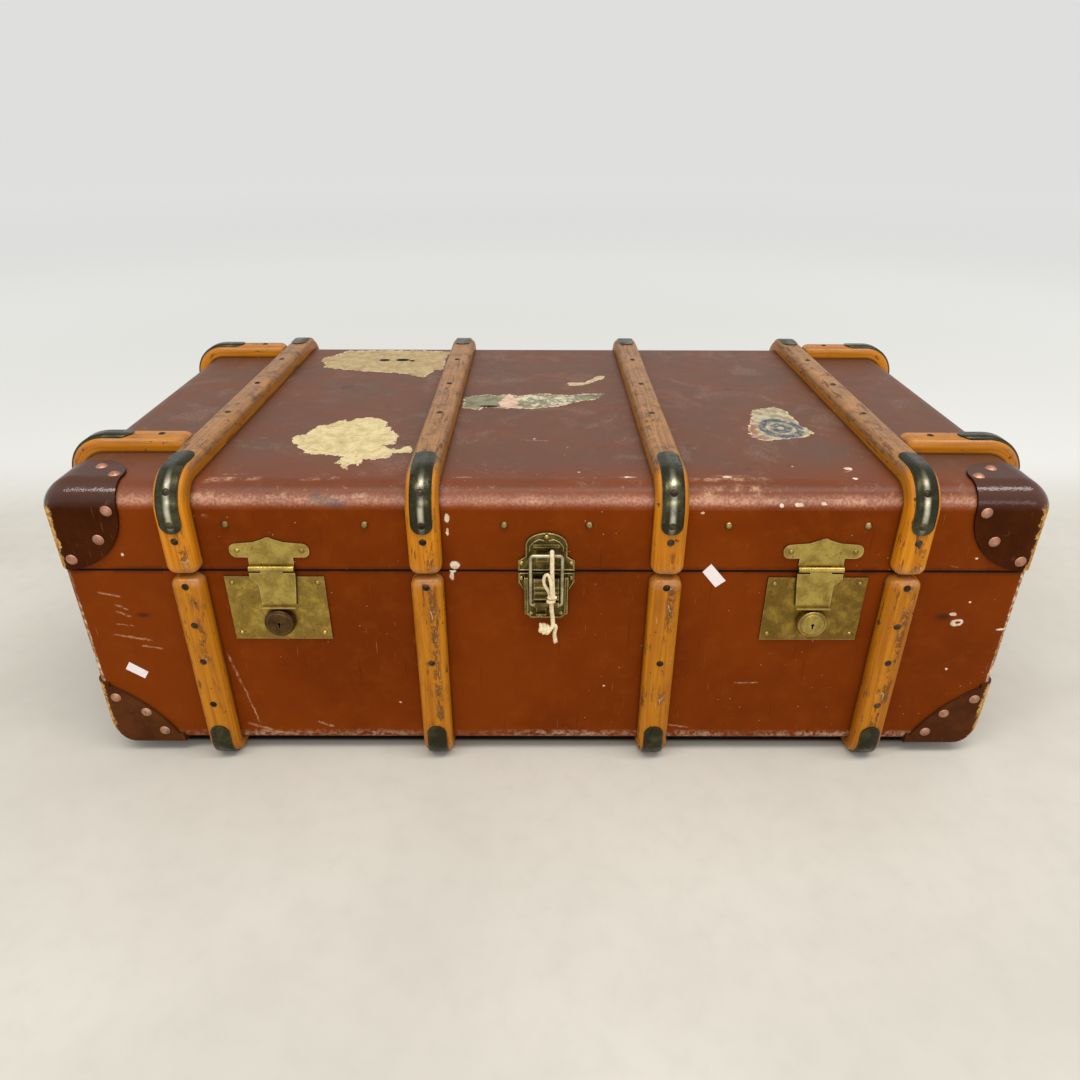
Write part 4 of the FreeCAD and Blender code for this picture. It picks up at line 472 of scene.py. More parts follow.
# ---- Leather ----
def corner_leather(name, dark, light, glossy, edge_z):
    """Thick riveted leather: pebbled, its cut edge dark, worn to tan on the upright edge below edge_z."""
    g = Graph(name)
    broad = g.noise(22, 4, 0.65)
    g.colour = g.blend(g.ramp(broad, 0.35, 0.7), dark, light)
    top = g.ramp(g.up, 0.4, 0.9)
    g.lay((0.078, 0.03, 0.018), top, 0.6)
    post = g.size(g.times(g.right, g.back))
    wave = g.times(g.minus(g.noise(110, 5, 0.75, distortion=0.4), 0.5), 1.1)
    worn = g.ramp(g.plus(post, wave), 0.3, 0.4)
    worn = g.times(worn, g.ramp(g.z, edge_z - 0.012, edge_z, 1, 0), g.ramp(post, 0.1, 0.25))
    tan = g.blend(g.ramp(g.noise(260), 0.35, 0.65), (0.4, 0.17, 0.03), (0.72, 0.44, 0.15))
    g.lay(tan, worn, 0.92)
    marks = g.scratches((20, 40, 10), 0.7, 0.0016, 0.03, 2.7)
    g.lay((0.3, 0.12, 0.04), marks, 0.35)
    rim = g.edges(0.0016, 0.02, 0.12)
    flat = g.flip(g.ramp(post, 0.02, 0.12))
    g.lay((0.02, 0.008, 0.004), rim, flat, 0.45)
    scuffs = g.times(g.ramp(g.noise(70, 5, 0.75, distortion=0.6), 0.6, 0.68), 0.35)
    g.lay((0.17, 0.07, 0.03), scuffs)
    pores = g.cells(620)
    normal = g.bump(pores, 0.0003, 0.25 if glossy else 0.4)
    normal = g.bump(g.noise(38, 3), 0.0012, 0.25 if glossy else 0.45, normal)
    normal = g.bump(g.flip(worn), 0.0006, 0.5, normal)
    rough = g.plus(g.ramp(broad, 0.3, 0.7, 0.4, 0.52), g.times(worn, 0.3))
    # dirt and painted contact shade round the rivets and beside raised parts
    dirt = g.recess(0.003)
    g.lay((0.014, 0.006, 0.003), dirt, 0.7)
    if glossy:
        g.coat(1, 0.38, 0)
    else:
        g.coat(0.3, 0.2, 0)
    return g.finish(rough, normal, Specular_IOR_Level=0.03, Coat_Roughness=0.09 if glossy else 0.25)


def strap_leather(name):
    g = Graph(name)
    tone = g.noise(60, 4, 0.6)
    g.colour = g.blend(g.ramp(tone, 0.3, 0.7), (0.15, 0.042, 0.01), (0.25, 0.08, 0.02))
    edge = g.edges(0.002)
    g.lay((0.085, 0.028, 0.01), edge, 0.6)
    cracks = g.ramp(g.cells(260, feature="DISTANCE_TO_EDGE"), 0, 0.05, 1, 0)
    cracks = g.times(cracks, g.ramp(g.noise(50, 3), 0.5, 0.65))
    g.lay((0.05, 0.016, 0.006), cracks, 0.6)
    normal = g.bump(g.cells(800), 0.0003, 0.5)
    normal = g.bump(g.flip(cracks), 0.0003, 0.6, normal)
    return g.finish(g.ramp(tone, 0.3, 0.7, 0.38, 0.55), normal, Specular_IOR_Level=0.3)


# ---- Metals ----
def aged_metal(name, bright, dull, stain, cover, rough, scale=1, rubbed=None, swap=None, dome=None,
               rub_width=0.0014):
    """Metal with tarnish in patches, fine scratches, darker pits and rubbed edges.

    cover is the share that stays bright, and rubbed the tone of the worn edges, rub_width wide. swap is
    (x, bright, dull) for pieces of the node beyond that x. dome is (axis, middles, rise) for metal pressed
    into a shallow dome along each middle.
    """
    g = Graph(name)
    patch = g.noise(70 * scale, 5, 0.65, distortion=0.4)
    share = g.ramp(patch, cover - 0.16, cover + 0.16)
    g.colour = g.blend(share, bright, dull)
    if swap:
        limit, other_bright, other_dull = swap
        g.lay(g.blend(share, other_bright, other_dull), g.ramp(g.x, limit - 0.001, limit + 0.001))
    spots = g.ramp(g.noise(320 * scale, 3, 0.7), 0.6, 0.7)
    g.lay(stain, spots, 0.7)
    hairs = g.larger(g.scratches((0, 30, 0), 0.64, 0.0006, 0.02, 4.4),
                     g.scratches((0, -65, 0), 0.66, 0.0006, 0.015, 8.3))
    g.lay(bright, hairs, 0.35)
    if rubbed:
        rim = g.times(g.edges(rub_width), g.ramp(g.noise(150, 3), 0.3, 0.6, 0.45, 1))
        g.lay(rubbed, rim, 0.85)
    g.lay(stain, g.recess(0.0035), 0.75)
    normal = g.bump(g.noise(420, 3, 0.6), 0.0002, 0.25)
    if dome:
        # thin metal pressed into a shallow dome across its width, with a painted highlight along its crown
        axis, middles, rise = dome
        own = g.x if axis == "x" else g.y
        offset = None
        for middle in middles:
            away = g.size(g.minus(own, middle))
            offset = away if offset is None else g.math("MINIMUM", offset, away)
        normal = g.bump(g.times(offset, offset, -rise), 1, 1, normal)
        crown_highlight = g.times(g.ramp(offset, 0.0004, 0.0038, 1, 0),
                        g.ramp(g.noise(45, 3), 0.34, 0.6, 0.15, 1),
                        g.ramp(g.size(g.minus(g.z, TOP_Z - 0.012)), 0.01, 0.032, 1, 0))
        g.lay((0.66, 0.62, 0.47), crown_highlight, 0.9)
    normal = g.bump(g.flip(hairs), 0.0001, 0.4, normal)
    roughness = g.plus(g.ramp(patch, 0.3, 0.7, rough, rough + 0.18), g.times(spots, 0.15))
    return g.finish(roughness, normal, Metallic=1)


# ---- Paper, cotton and floor ----
def paper(name, base, stain, cover=0.55, specks=0.5, flakes=None, dark=None):
    """Old paper; flakes is a paler colour in patches and dark a place that is burnt or stained black."""
    g = Graph(name)
    blotch = g.noise(75, 5, 0.75, distortion=0.5)
    g.colour = g.blend(g.ramp(blotch, cover - 0.16, cover + 0.16), base, stain)
    if flakes:
        patches = g.times(g.ramp(g.noise(105, 4, 0.7, distortion=0.6), 0.47, 0.56),
                          g.hill(g.x, -0.06, -0.03, 0.01, 0.06))
        g.lay(flakes, patches)
    if dark:
        u, y, z = g.warped(0.0015)
        g.lay((0.01, 0.008, 0.006), dots(g, u, y, dark))
    dirt = g.ramp(g.noise(240, 3, 0.7), 0.6, 0.68)
    g.lay((0.16, 0.09, 0.04), dirt, specks)
    normal = g.bump(g.noise(260, 4, 0.7), 0.0004, 0.5)
    return g.finish(0.8, normal, Specular_IOR_Level=0.15)


def lining_paper():
    """Aged paper with a fine stripe, blotched and foxed."""
    g = Graph("lining_paper")
    blotch = g.noise(9, 5, 0.7, distortion=0.5)
    g.colour = g.blend(g.ramp(blotch, 0.42, 0.72), (0.6, 0.5, 0.35), (0.42, 0.31, 0.18))
    level = g.ramp(g.size(g.up), 0.4, 0.6)
    sideways = g.ramp(g.size(g.right), 0.5, 0.7)
    run = g.add("ShaderNodeMix", {0: sideways, 2: g.x, 3: g.y}, 0, data_type="FLOAT")
    wave = g.math("SINE", g.times(run, 2 * math.pi / 0.014))
    stripe = g.larger(g.ramp(wave, 0.8, 0.92), g.times(g.hill(wave, -0.15, -0.02, 0.12, 0.25), 0.6))
    g.lay((0.3, 0.16, 0.1), stripe, g.flip(g.times(level, 0.2)), 0.42)
    foxing = g.times(g.ramp(g.cells(60), 0.06, 0.16, 1, 0), g.ramp(g.noise(5, 2), 0.5, 0.62))
    g.lay((0.3, 0.15, 0.06), foxing, 0.5)
    normal = g.bump(g.noise(260, 4, 0.7), 0.0004, 0.4)
    return g.finish(0.82, normal, Specular_IOR_Level=0.15)


DISC_X, DISC_Y = 0.249, -0.088


def blue_paper():
    """A scrap of a print: a blue disc with a cream ring and dot on cream, rubbed, and reddish to the left."""
    g = Graph("blue_paper")
    cream = g.blend(g.ramp(g.noise(90, 4, 0.7), 0.38, 0.62), (0.5, 0.43, 0.29), (0.27, 0.22, 0.13))
    u, y, z = g.warped(0.0028)
    du, dy = g.minus(u, DISC_X), g.times(g.minus(y, DISC_Y), 0.8)
    far = g.math("SQRT", g.plus(g.times(du, du), g.times(dy, dy)))
    disc = g.ramp(far, 0.0225, 0.024, 1, 0)
    ring = g.larger(g.hill(far, 0.0105, 0.012, 0.0145, 0.016), g.ramp(far, 0.003, 0.0042, 1, 0))
    ink = g.times(disc, g.flip(ring), g.ramp(g.noise(110, 4, 0.75), 0.4, 0.5, 0.15, 1))
    tone = g.blend(g.ramp(g.noise(200, 3), 0.4, 0.6), (0.022, 0.04, 0.085), (0.045, 0.072, 0.125))
    g.colour = g.blend(g.times(ink, 0.9), cream, tone)
    left = g.times(g.ramp(g.x, 0.218, 0.232, 1, 0), g.ramp(g.noise(90, 3), 0.36, 0.56))
    g.lay((0.28, 0.085, 0.045), left, 0.8)
    rubbed = g.ramp(g.noise(150, 5, 0.8), 0.56, 0.61)
    g.lay((0.4, 0.33, 0.23), rubbed, 0.65)
    return g.finish(0.6, g.bump(g.noise(300, 4, 0.7), 0.0003, 0.4), Specular_IOR_Level=0.25)


def cotton():
    g = Graph("cotton")
    tone = g.noise(420, 3, 0.7)
    dirt = g.ramp(g.noise(90, 3), 0.45, 0.7)
    g.colour = g.blend(g.ramp(tone, 0.3, 0.75), (0.93, 0.81, 0.54), (0.68, 0.54, 0.3))
    g.lay((0.5, 0.33, 0.2), dirt, 0.4)
    low = g.ramp(g.z, 0.15, 0.162, 0.55, 0)
    g.lay((0.55, 0.25, 0.18), low)
    return g.finish(0.85, g.bump(g.noise(1800, 2), 0.0003, 0.6), Sheen_Weight=0.3,
                    Specular_IOR_Level=0.1)


def floor_material():
    """Pale floor that turns to the wall's white behind the trunk and far away."""
    g = Graph("floor")
    cloud = g.noise(1.6, 5, 0.6)
    fine = g.noise(40, 4, 0.6)
    g.colour = g.blend(g.ramp(cloud, 0.35, 0.65), (0.575, 0.555, 0.5), (0.655, 0.635, 0.575))
    g.lay((0.52, 0.5, 0.45), g.ramp(fine, 0.4, 0.8, 0, 0.25))
    reach = g.math("SQRT", g.plus(g.times(g.x, g.x), g.times(g.y, g.y)))
    white = g.larger(g.ramp(g.y, 0.25, 0.6), g.ramp(reach, 0.9, 1.6))
    g.lay((0.8, 0.8, 0.78), white)
    g.lay((0.92, 0.92, 0.91), g.ramp(reach, 1.2, 3))
    g.lay((1, 1, 0.99), g.ramp(reach, 3, 7))
    # the deep shade under the trunk
    shade = g.times(g.ramp(g.size(g.y), 0.222, 0.228, 1, 0),
                    g.ramp(g.size(g.x), 0.436, 0.444, 1, 0))
    g.lay((0.01, 0.009, 0.008), shade, 0.97)
    return g.finish(0.7, g.bump(fine, 0.0004, 0.2), Specular_IOR_Level=0)


# ---- Light and floor ----
def area_light(name, place, target, size, power, colour=(1, 1, 1)):
    data = bpy.data.lights.new(name, "AREA")
    data.shape = "RECTANGLE"
    data.size, data.size_y = size
    data.energy = power
    data.color = colour
    lamp = link(bpy.data.objects.new(name, data))
    lamp.location = place
    lamp.rotation_euler = (Vector(target) - Vector(place)).to_track_quat("-Z", "Y").to_euler()


def make_lights():
    world = bpy.data.worlds.new("studio")
    world.use_nodes = True
    sky = world.node_tree.nodes["Background"]
    sky.inputs["Color"].default_value = (0.99, 1, 0.985, 1)
    sky.inputs["Strength"].default_value = 0.74
    SCENE.world = world
    area_light("overhead", (0.15, -0.85, 2.4), (0, -0.1, 0.1), (4, 0.5), 45, (1, 0.945, 0.885))
    area_light("front", (0.3, -2.5, 1), (0, 0, 0.15), (3.6, 0.5), 10, (1, 0.95, 0.89))
    SCENE.view_settings.view_transform = "Standard"


def make_floor():
    size = 8
    corners = [(-size, -size, 0), (size, -size, 0), (size, size, 0), (-size, size, 0)]
    mesh = bpy.data.meshes.new("floor")
    mesh.from_pydata(corners, [], [(0, 1, 2, 3)])
    mesh.materials.append(floor_material())
    link(bpy.data.objects.new("floor", mesh))


# ---- Finishes of the CAD nodes ----
def paint(material, *names):
    for name in names:
        obj = NODES[name]
        obj.data.materials.clear()
        obj.data.materials.append(material)


def paint_box():
    """Paints everything that isn't metal."""
    paint(covering("covering_lid", True), "lid_shell")
    paint(covering("covering_base", False), "base_shell")
    numbers = (1, 2, 3, 4)
    paint(bent_wood("slat_lid", "y", HALF_DEP - LID_RAD, TOP_Z - LID_RAD, True, 1),
          *["lid_slat_%d" % n for n in numbers])
    paint(bent_wood("slat_base", "y", HALF_DEP - FOOT_RAD, FLOOR_Z + FOOT_RAD, False, 0.8),
          *["base_slat_%d" % n for n in numbers])
    paint(bent_wood("slat_lid_end", "x", HALF_LEN - END_RAD, TOP_Z - END_RAD, True, 0.95, 0.4),
          "lid_end_slats_left", "lid_end_slats_right")
    paint(bent_wood("slat_base_end", "x", HALF_LEN - END_RAD, FLOOR_Z + END_RAD, False, 0.8),
          "base_end_slats_left", "base_end_slats_right")
    places = ("front_left", "front_right", "back_left", "back_right")
    paint(corner_leather("leather_lid", (0.042, 0.0082, 0.0009), (0.06, 0.013, 0.0017), True,
                         TOP_Z - 0.012), *["lid_corner_" + p for p in places])
    paint(corner_leather("leather_foot", (0.062, 0.017, 0.0045), (0.105, 0.032, 0.009), False, TOP_Z),
          *["base_corner_" + p for p in places])
    paint(lining_paper(), "base_lining", "lid_lining")
    paint(bare_wood("lip_wood"), "base_rim")
    paint(strap_leather("strap_leather"), "handle_left", "handle_right")


def paint_metals():
    """Paints the metal nodes and gives the metal of the catch's raised ribs."""
    paint(aged_metal("brass_plate", (0.5, 0.34, 0.075), (0.27, 0.175, 0.036), (0.09, 0.055, 0.018), 0.42,
                     0.33, rubbed=(0.62, 0.4, 0.24), swap=(0, (0.38, 0.245, 0.048), (0.19, 0.115, 0.022))),
          "lock_plate_left", "lock_plate_right")
    paint(aged_metal("brass_rivet", (0.52, 0.38, 0.12), (0.26, 0.17, 0.045), (0.09, 0.055, 0.018), 0.5,
                     0.3), "base_plate_rivets", "lid_plate_rivets")
    paint(aged_metal("brass_hasp", (0.5, 0.37, 0.095), (0.3, 0.205, 0.046), (0.11, 0.07, 0.02), 0.52, 0.26,
                     rubbed=(0.74, 0.62, 0.32)),
          "hasp_plate_left", "hasp_plate_right", "hasp_left", "hasp_right", "lock_plug_right")
    bronzed = ((0.125, 0.068, 0.026), (0.055, 0.03, 0.013), (0.02, 0.012, 0.007), 0.5)
    paint(aged_metal("brass_dark", *bronzed, 0.3, rubbed=(0.3, 0.2, 0.09)), "lock_plug_left")
    paint(aged_metal("brass_collar", *bronzed, 0.28, rubbed=(0.36, 0.26, 0.12),
                     swap=(0, (0.48, 0.35, 0.1), (0.26, 0.17, 0.045))), "lock_collars")
    paint(aged_metal("brass_catch", (0.2, 0.148, 0.044), (0.068, 0.048, 0.014), (0.01, 0.007, 0.003), 0.44,
                     0.33, rubbed=(0.66, 0.52, 0.2), rub_width=0.0022),
          "catch_plate", "catch_keeper", "catch_lever")
    paint(aged_metal("brass_wire", (0.6, 0.55, 0.38), (0.32, 0.27, 0.16), (0.08, 0.06, 0.03), 0.52, 0.3),
          "catch_bail")
    bronze = ((0.105, 0.098, 0.05), (0.04, 0.038, 0.023), (0.012, 0.011, 0.008), 0.4, 0.2)
    slats = [SLAT_PITCH * share for share in (-1.5, -0.5, 0.5, 1.5)]
    end_slats = [END_SLAT_FRONT, END_SLAT_REAR]
    for name, axis, middles, nodes in (("cap_bronze", "x", slats, ("lid_slat_caps", "base_slat_caps")),
                                       ("cap_bronze_end", "y", end_slats, ("lid_end_caps",))):
        paint(aged_metal(name, *bronze, scale=0.7, rubbed=(0.16, 0.13, 0.07), dome=(axis, middles, 30)),
              *nodes)
    paint(aged_metal("copper", (0.52, 0.27, 0.175), (0.33, 0.155, 0.095), (0.14, 0.06, 0.035), 0.55, 0.46,
                     rubbed=(0.62, 0.4, 0.3)), "lid_corner_rivets", "base_corner_rivets")
    paint(aged_metal("stud_brass", (0.36, 0.26, 0.1), (0.16, 0.105, 0.035), (0.05, 0.03, 0.012), 0.5, 0.28),
          "lid_studs")
    paint(aged_metal("nail_dark", (0.12, 0.085, 0.055), (0.03, 0.02, 0.013), (0.01, 0.007, 0.005), 0.46,
                     0.3), "lid_nails", "base_nails")
    paint(aged_metal("steel_dark", (0.22, 0.19, 0.15), (0.1, 0.085, 0.065), (0.05, 0.03, 0.02), 0.45, 0.42,
                     rubbed=(0.34, 0.3, 0.24)),
          "hinge_leaves_base", "hinge_leaves_lid", "hinge_pins", "hasp_pins", "catch_pin", "lock_cases",
          "handle_brackets")
    return aged_metal("brass_rim", (0.52, 0.42, 0.17), (0.22, 0.17, 0.062), (0.04, 0.03, 0.012), 0.5, 0.3)


# ---- Paper remnants and stickers ----
def add_piece(name, mesh, material, body):
    mesh.materials.append(material)
    obj = link(bpy.data.objects.new(name, mesh))
    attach(obj, body)
    return obj


def torn(outline, step, rough, seed):
    """A closed outline in millimetres whose sides are broken into large and then small ragged steps."""
    rand = random.Random(seed)
    points = outline
    for size, reach in ((step * 3.2, rough * 1.5), (step, rough)):
        broken = []
        for (x0, y0), (x1, y1) in zip(points, points[1:] + points[:1]):
            length = max(math.hypot(x1 - x0, y1 - y0), 1e-6)
            count = max(1, round(length / size))
            for i in range(count):
                share = (i + (rand.uniform(-0.25, 0.25) if i else 0)) / count
                side = rand.uniform(-reach, reach) * (1 if i else 0.35)
                broken.append((x0 + (x1 - x0) * share + (y1 - y0) / length * side,
                               y0 + (y1 - y0) * share - (x1 - x0) / length * side))
        points = broken
    return points


def shrunk(outline, by):
    """The outline drawn in by a distance, corner by corner."""
    area = sum(x0 * y1 - x1 * y0 for (x0, y0), (x1, y1) in zip(outline, outline[1:] + outline[:1]))
    turn = 1 if area > 0 else -1
    result = []
    for before, here, after in zip(outline[-1:] + outline[:-1], outline, outline[1:] + outline[:1]):
        run = Vector((after[0] - before[0], after[1] - before[1])).normalized()
        result.append((here[0] - turn * run.y * by, here[1] + turn * run.x * by))
    return result


def flat_piece(name, outline, low, high, material, body, place):
    """A thin sheet between two heights over a face; place turns (u, v, height) into a point in metres."""
    bm = bmesh.new()
    verts = [bm.verts.new((u, v, 0)) for u, v in outline]
    edges = [bm.edges.new((a, b)) for a, b in zip(verts, verts[1:] + verts[:1])]
    bmesh.ops.triangle_fill(bm, use_beauty=True, use_dissolve=False, edges=edges)
    bmesh.ops.recalc_face_normals(bm, faces=bm.faces)
    if bm.faces and sum(face.normal.z for face in bm.faces) < 0:
        bmesh.ops.reverse_faces(bm, faces=bm.faces)
    grown = bmesh.ops.extrude_face_region(bm, geom=bm.faces[:])
    lifted = [v for v in grown["geom"] if isinstance(v, bmesh.types.BMVert)]
    for vert in lifted:
        vert.co.z = high
    for vert in bm.verts:
        if vert.co.z == 0:
            vert.co.z = low
    bmesh.ops.recalc_face_normals(bm, faces=bm.faces)
    for vert in bm.verts:
        vert.co = place(*vert.co)
    mesh = bpy.data.meshes.new(name)
    bm.normal_update()
    bm.to_mesh(mesh)
    bm.free()
    add_piece(name, mesh, material, body)


def on_lid(u, v, height):
    return Vector((u * MM, v * MM, TOP_Z + height * MM))


def on_front(u, v, height):
    return Vector((u * MM, -HALF_DEP - height * MM, v * MM))


# In millimetres: the layers' heights over the face, then outlines, (x, y) on the lid and (x, z) in front.
GLUE, FRINGE_TOP, SHEET_TOP, PATCH_TOP = 0.02, 0.14, 0.26, 0.36
BIG_CREAM = [
    (-257, -129), (-259, -115), (-249, -108), (-243, -86), (-227, -75), (-218, -63), (-214, -73),
    (-205, -59), (-189, -57), (-175, -67), (-164, -94), (-151, -113), (-154, -123), (-152, -133),
    (-164, -140), (-157, -147), (-145, -150), (-137, -140), (-132, -157), (-151, -160), (-152, -170),
    (-168, -176), (-177, -173), (-177, -191), (-187, -188), (-187, -201), (-195, -188), (-203, -185),
    (-196, -169), (-212, -163), (-229, -164), (-238, -156), (-248, -140)]
BACK_CREAM = [
    (-299, 175), (-286, 191), (-273, 213), (-246, 216), (-177, 217), (-129, 211), (-133, 177),
    (-131, 127), (-144, 119), (-152, 89), (-171, 103), (-190, 111), (-228, 117), (-255, 123), (-286, 134)]
STRIP = [
    (-94, 13), (-77, 19), (-68, 24), (-53, 19), (-42, 26), (-33, 17), (-6, 28), (27, 21), (42, 25),
    (71, 27), (58, 7), (40, 0), (19, -15), (-9, -26), (-32, -26), (-50, -25), (-71, -23), (-75, -32),
    (-94, -23)]
PINK_PART = [(-55, -8), (-42, 25), (-31, 3), (-33, -25), (-49, -24)]
SMALL_STRIP = [(28, 70), (49, 70), (66, 98), (76, 98), (72, 87), (55, 69), (45, 59), (29, 59)]
BLUE = [
    (233, -29), (247, -24), (260, -18), (269, -34), (272, -62), (272, -80), (281, -101), (266, -113),
    (250, -118), (224, -123), (211, -113), (215, -86), (224, -58)]
STICKER_LOW = [(-423.5, 107.8), (-418, 116.6), (-401.4, 104.4), (-406.6, 96.2)]
STICKER_SEAM = [(147, 223), (154.6, 231.6), (170, 213.4), (161, 206)]


def make_papers():
    fringe = paper("paper_fringe", (0.7, 0.56, 0.38), (0.52, 0.36, 0.24))
    cream = paper("paper_cream", (0.68, 0.56, 0.31), (0.46, 0.37, 0.18), cover=0.52)
    olive = paper("paper_olive", (0.5, 0.4, 0.215), (0.36, 0.245, 0.125), cover=0.5,
                  dark=[(-214, 168, 8, 6), (-190, 169, 10, 7), (-177, 165, 4, 4)])
    grey = paper("paper_grey", (0.27, 0.26, 0.17), (0.15, 0.14, 0.09), cover=0.5, flakes=(0.62, 0.54, 0.4),
                 dark=[(-64, -19, 12, 3.6)])
    pink = paper("paper_pink", (0.7, 0.5, 0.38), (0.46, 0.26, 0.17), cover=0.55)
    pale = paper("paper_pale", (0.56, 0.44, 0.27), (0.38, 0.26, 0.15), cover=0.52)
    for name, outline, top, inset, rough, seed in (
            ("paper_big", BIG_CREAM, cream, 1.3, 1.5, 3), ("paper_back", BACK_CREAM, olive, 1.5, 1.5, 5),
            ("paper_strip", STRIP, grey, 1, 1.2, 7), ("paper_scrap", SMALL_STRIP, pale, 0.8, 0.7, 9),
            ("paper_blue", BLUE, blue_paper(), 0.9, 1.2, 11)):
        under = torn(outline, 1.1, rough, seed)
        sheet = torn(shrunk(outline, inset), 1.1, rough, seed + 40)
        flat_piece(name + "_fringe", under, GLUE, FRINGE_TOP, fringe, "lid", on_lid)
        flat_piece(name, sheet, FRINGE_TOP, SHEET_TOP, top, "lid", on_lid)
    patch = torn(shrunk(PINK_PART, 0.6), 1.2, 0.8, 71)
    flat_piece("paper_strip_pink", patch, SHEET_TOP, PATCH_TOP, pink, "lid", on_lid)
    sticker = paper("sticker_white", (0.88, 0.8, 0.8), (0.7, 0.5, 0.48), cover=0.72, specks=0.25)
    flat_piece("sticker_low", STICKER_LOW, GLUE, 0.22, sticker, "base", on_front)
    flat_piece("sticker_seam", STICKER_SEAM, GLUE, 0.24, sticker, "base", on_front)


# ---- Cotton string ----
# In millimetres: the string, the bail's plane and bar, the seam, and the planes of knot and strand.
STRING_RAD, BARREL_RAD, SIDE_GAP = 2.1, 3.2, 0.35
BAIL_Y, BAR_Z, SEAM = -250.55, 245, 224
KNOT_Y = BAIL_Y - BARREL_RAD - STRING_RAD - SIDE_GAP - STRING_RAD / 2
FRONT_Y = KNOT_Y + STRING_RAD / 2
PLIES, TURN_LENGTH, TUBE_SIDES = 3, 6.5, 8


def spline_points(points, resolution=10):
    """The points of the NURBS spline that these control points guide."""
    curve = bpy.data.curves.new("route", "CURVE")
    curve.dimensions = "3D"
    curve.resolution_u = resolution
    spline = curve.splines.new("NURBS")
    spline.points.add(len(points) - 1)
    for point, place in zip(spline.points, points):
        point.co = (*place, 1)
    spline.order_u = 3
    spline.use_endpoint_u = True
    holder = link(bpy.data.objects.new("route", curve))
    mesh = bpy.data.meshes.new_from_object(holder)
    line = [Vector(v.co) for v in mesh.vertices]
    bpy.data.objects.remove(holder)
    bpy.data.curves.remove(curve)
    bpy.data.meshes.remove(mesh)
    return line


def headings(line):
    """The tangent at each point of a line, and a side direction that doesn't twist."""
    last = len(line) - 1
    side = (line[1] - line[0]).normalized().orthogonal().normalized()
    result = []
    for i in range(last + 1):
        tangent = (line[min(i + 1, last)] - line[max(i - 1, 0)]).normalized()
        side = (side - tangent * side.dot(tangent)).normalized()
        result.append((tangent, side))
    return result


def around(tangent, side, angle):
    """The direction at an angle round the tangent."""
    return side * math.cos(angle) + tangent.cross(side) * math.sin(angle)


def add_tube(verts, faces, line, radius):
    """A tube round a line, with a flat face at each end."""
    first = len(verts)
    sides = range(TUBE_SIDES)
    for point, (tangent, side) in zip(line, headings(line)):
        for k in sides:
            verts.append(point + around(tangent, side, 2 * math.pi * k / TUBE_SIDES) * radius)
    last = len(verts) - TUBE_SIDES
    for ring in range(first, last, TUBE_SIDES):
        for k in sides:
            a, b = ring + k, ring + (k + 1) % TUBE_SIDES
            faces.append((a, b, b + TUBE_SIDES, a + TUBE_SIDES))
    faces.append(tuple(first + k for k in reversed(sides)))
    faces.append(tuple(last + k for k in sides))


def even(line, step):
    """The line again with points a step apart."""
    result = [line[0]]
    left = step
    for start, stop in zip(line, line[1:]):
        length = (stop - start).length
        while length > 1e-9 and left <= length:
            start = start + (stop - start) * (left / length)
            length = (stop - start).length
            result.append(start)
            left = step
        left -= length
    if (result[-1] - line[-1]).length > step * 0.3:
        result.append(line[-1])
    return result


def round_piece(name, verts, faces, material, body):
    """A smooth piece whose points are given in millimetres."""
    mesh = bpy.data.meshes.new(name)
    mesh.from_pydata([tuple(v * MM) for v in verts], [], faces)
    mesh.validate()
    mesh.update()
    for face in mesh.polygons:
        face.use_smooth = True
    return add_piece(name, mesh, material, body)


def add_rope(verts, faces, points, radius, phase=0, spread=0):
    """Twisted plies along the spline of these control points; spread opens them towards the end."""
    line = even(spline_points(points), 0.55)
    count = len(line)
    ways = headings(line)
    offset, ply = radius * 0.5, radius * 0.53
    for strand in range(PLIES):
        path, run = [], 0
        for i, (point, (tangent, side)) in enumerate(zip(line, ways)):
            if i:
                run += (point - line[i - 1]).length
            angle = phase + 2 * math.pi * (strand / PLIES + run / TURN_LENGTH)
            opened = 1 + spread * max(0, i / (count - 1) - 0.7) / 0.3
            path.append(point + around(tangent, side, angle) * offset * opened)
        add_tube(verts, faces, path, ply)


def square_turns(centre, axis, radius, pitch, turns, start=0):
    """Control points, four to a turn, round an axis; radius is a function of the share of the way."""
    axis = Vector(axis).normalized()
    side = axis.orthogonal().normalized()
    points = []
    for i in range(int(turns * 4) + 1):
        angle = start + math.pi / 2 * i
        height = (i / 4 - turns / 2) * pitch
        wide = radius(i / (turns * 4))
        points.append(Vector(centre) + around(axis, side, angle) * wide * 1.3 + axis * height)
    return points


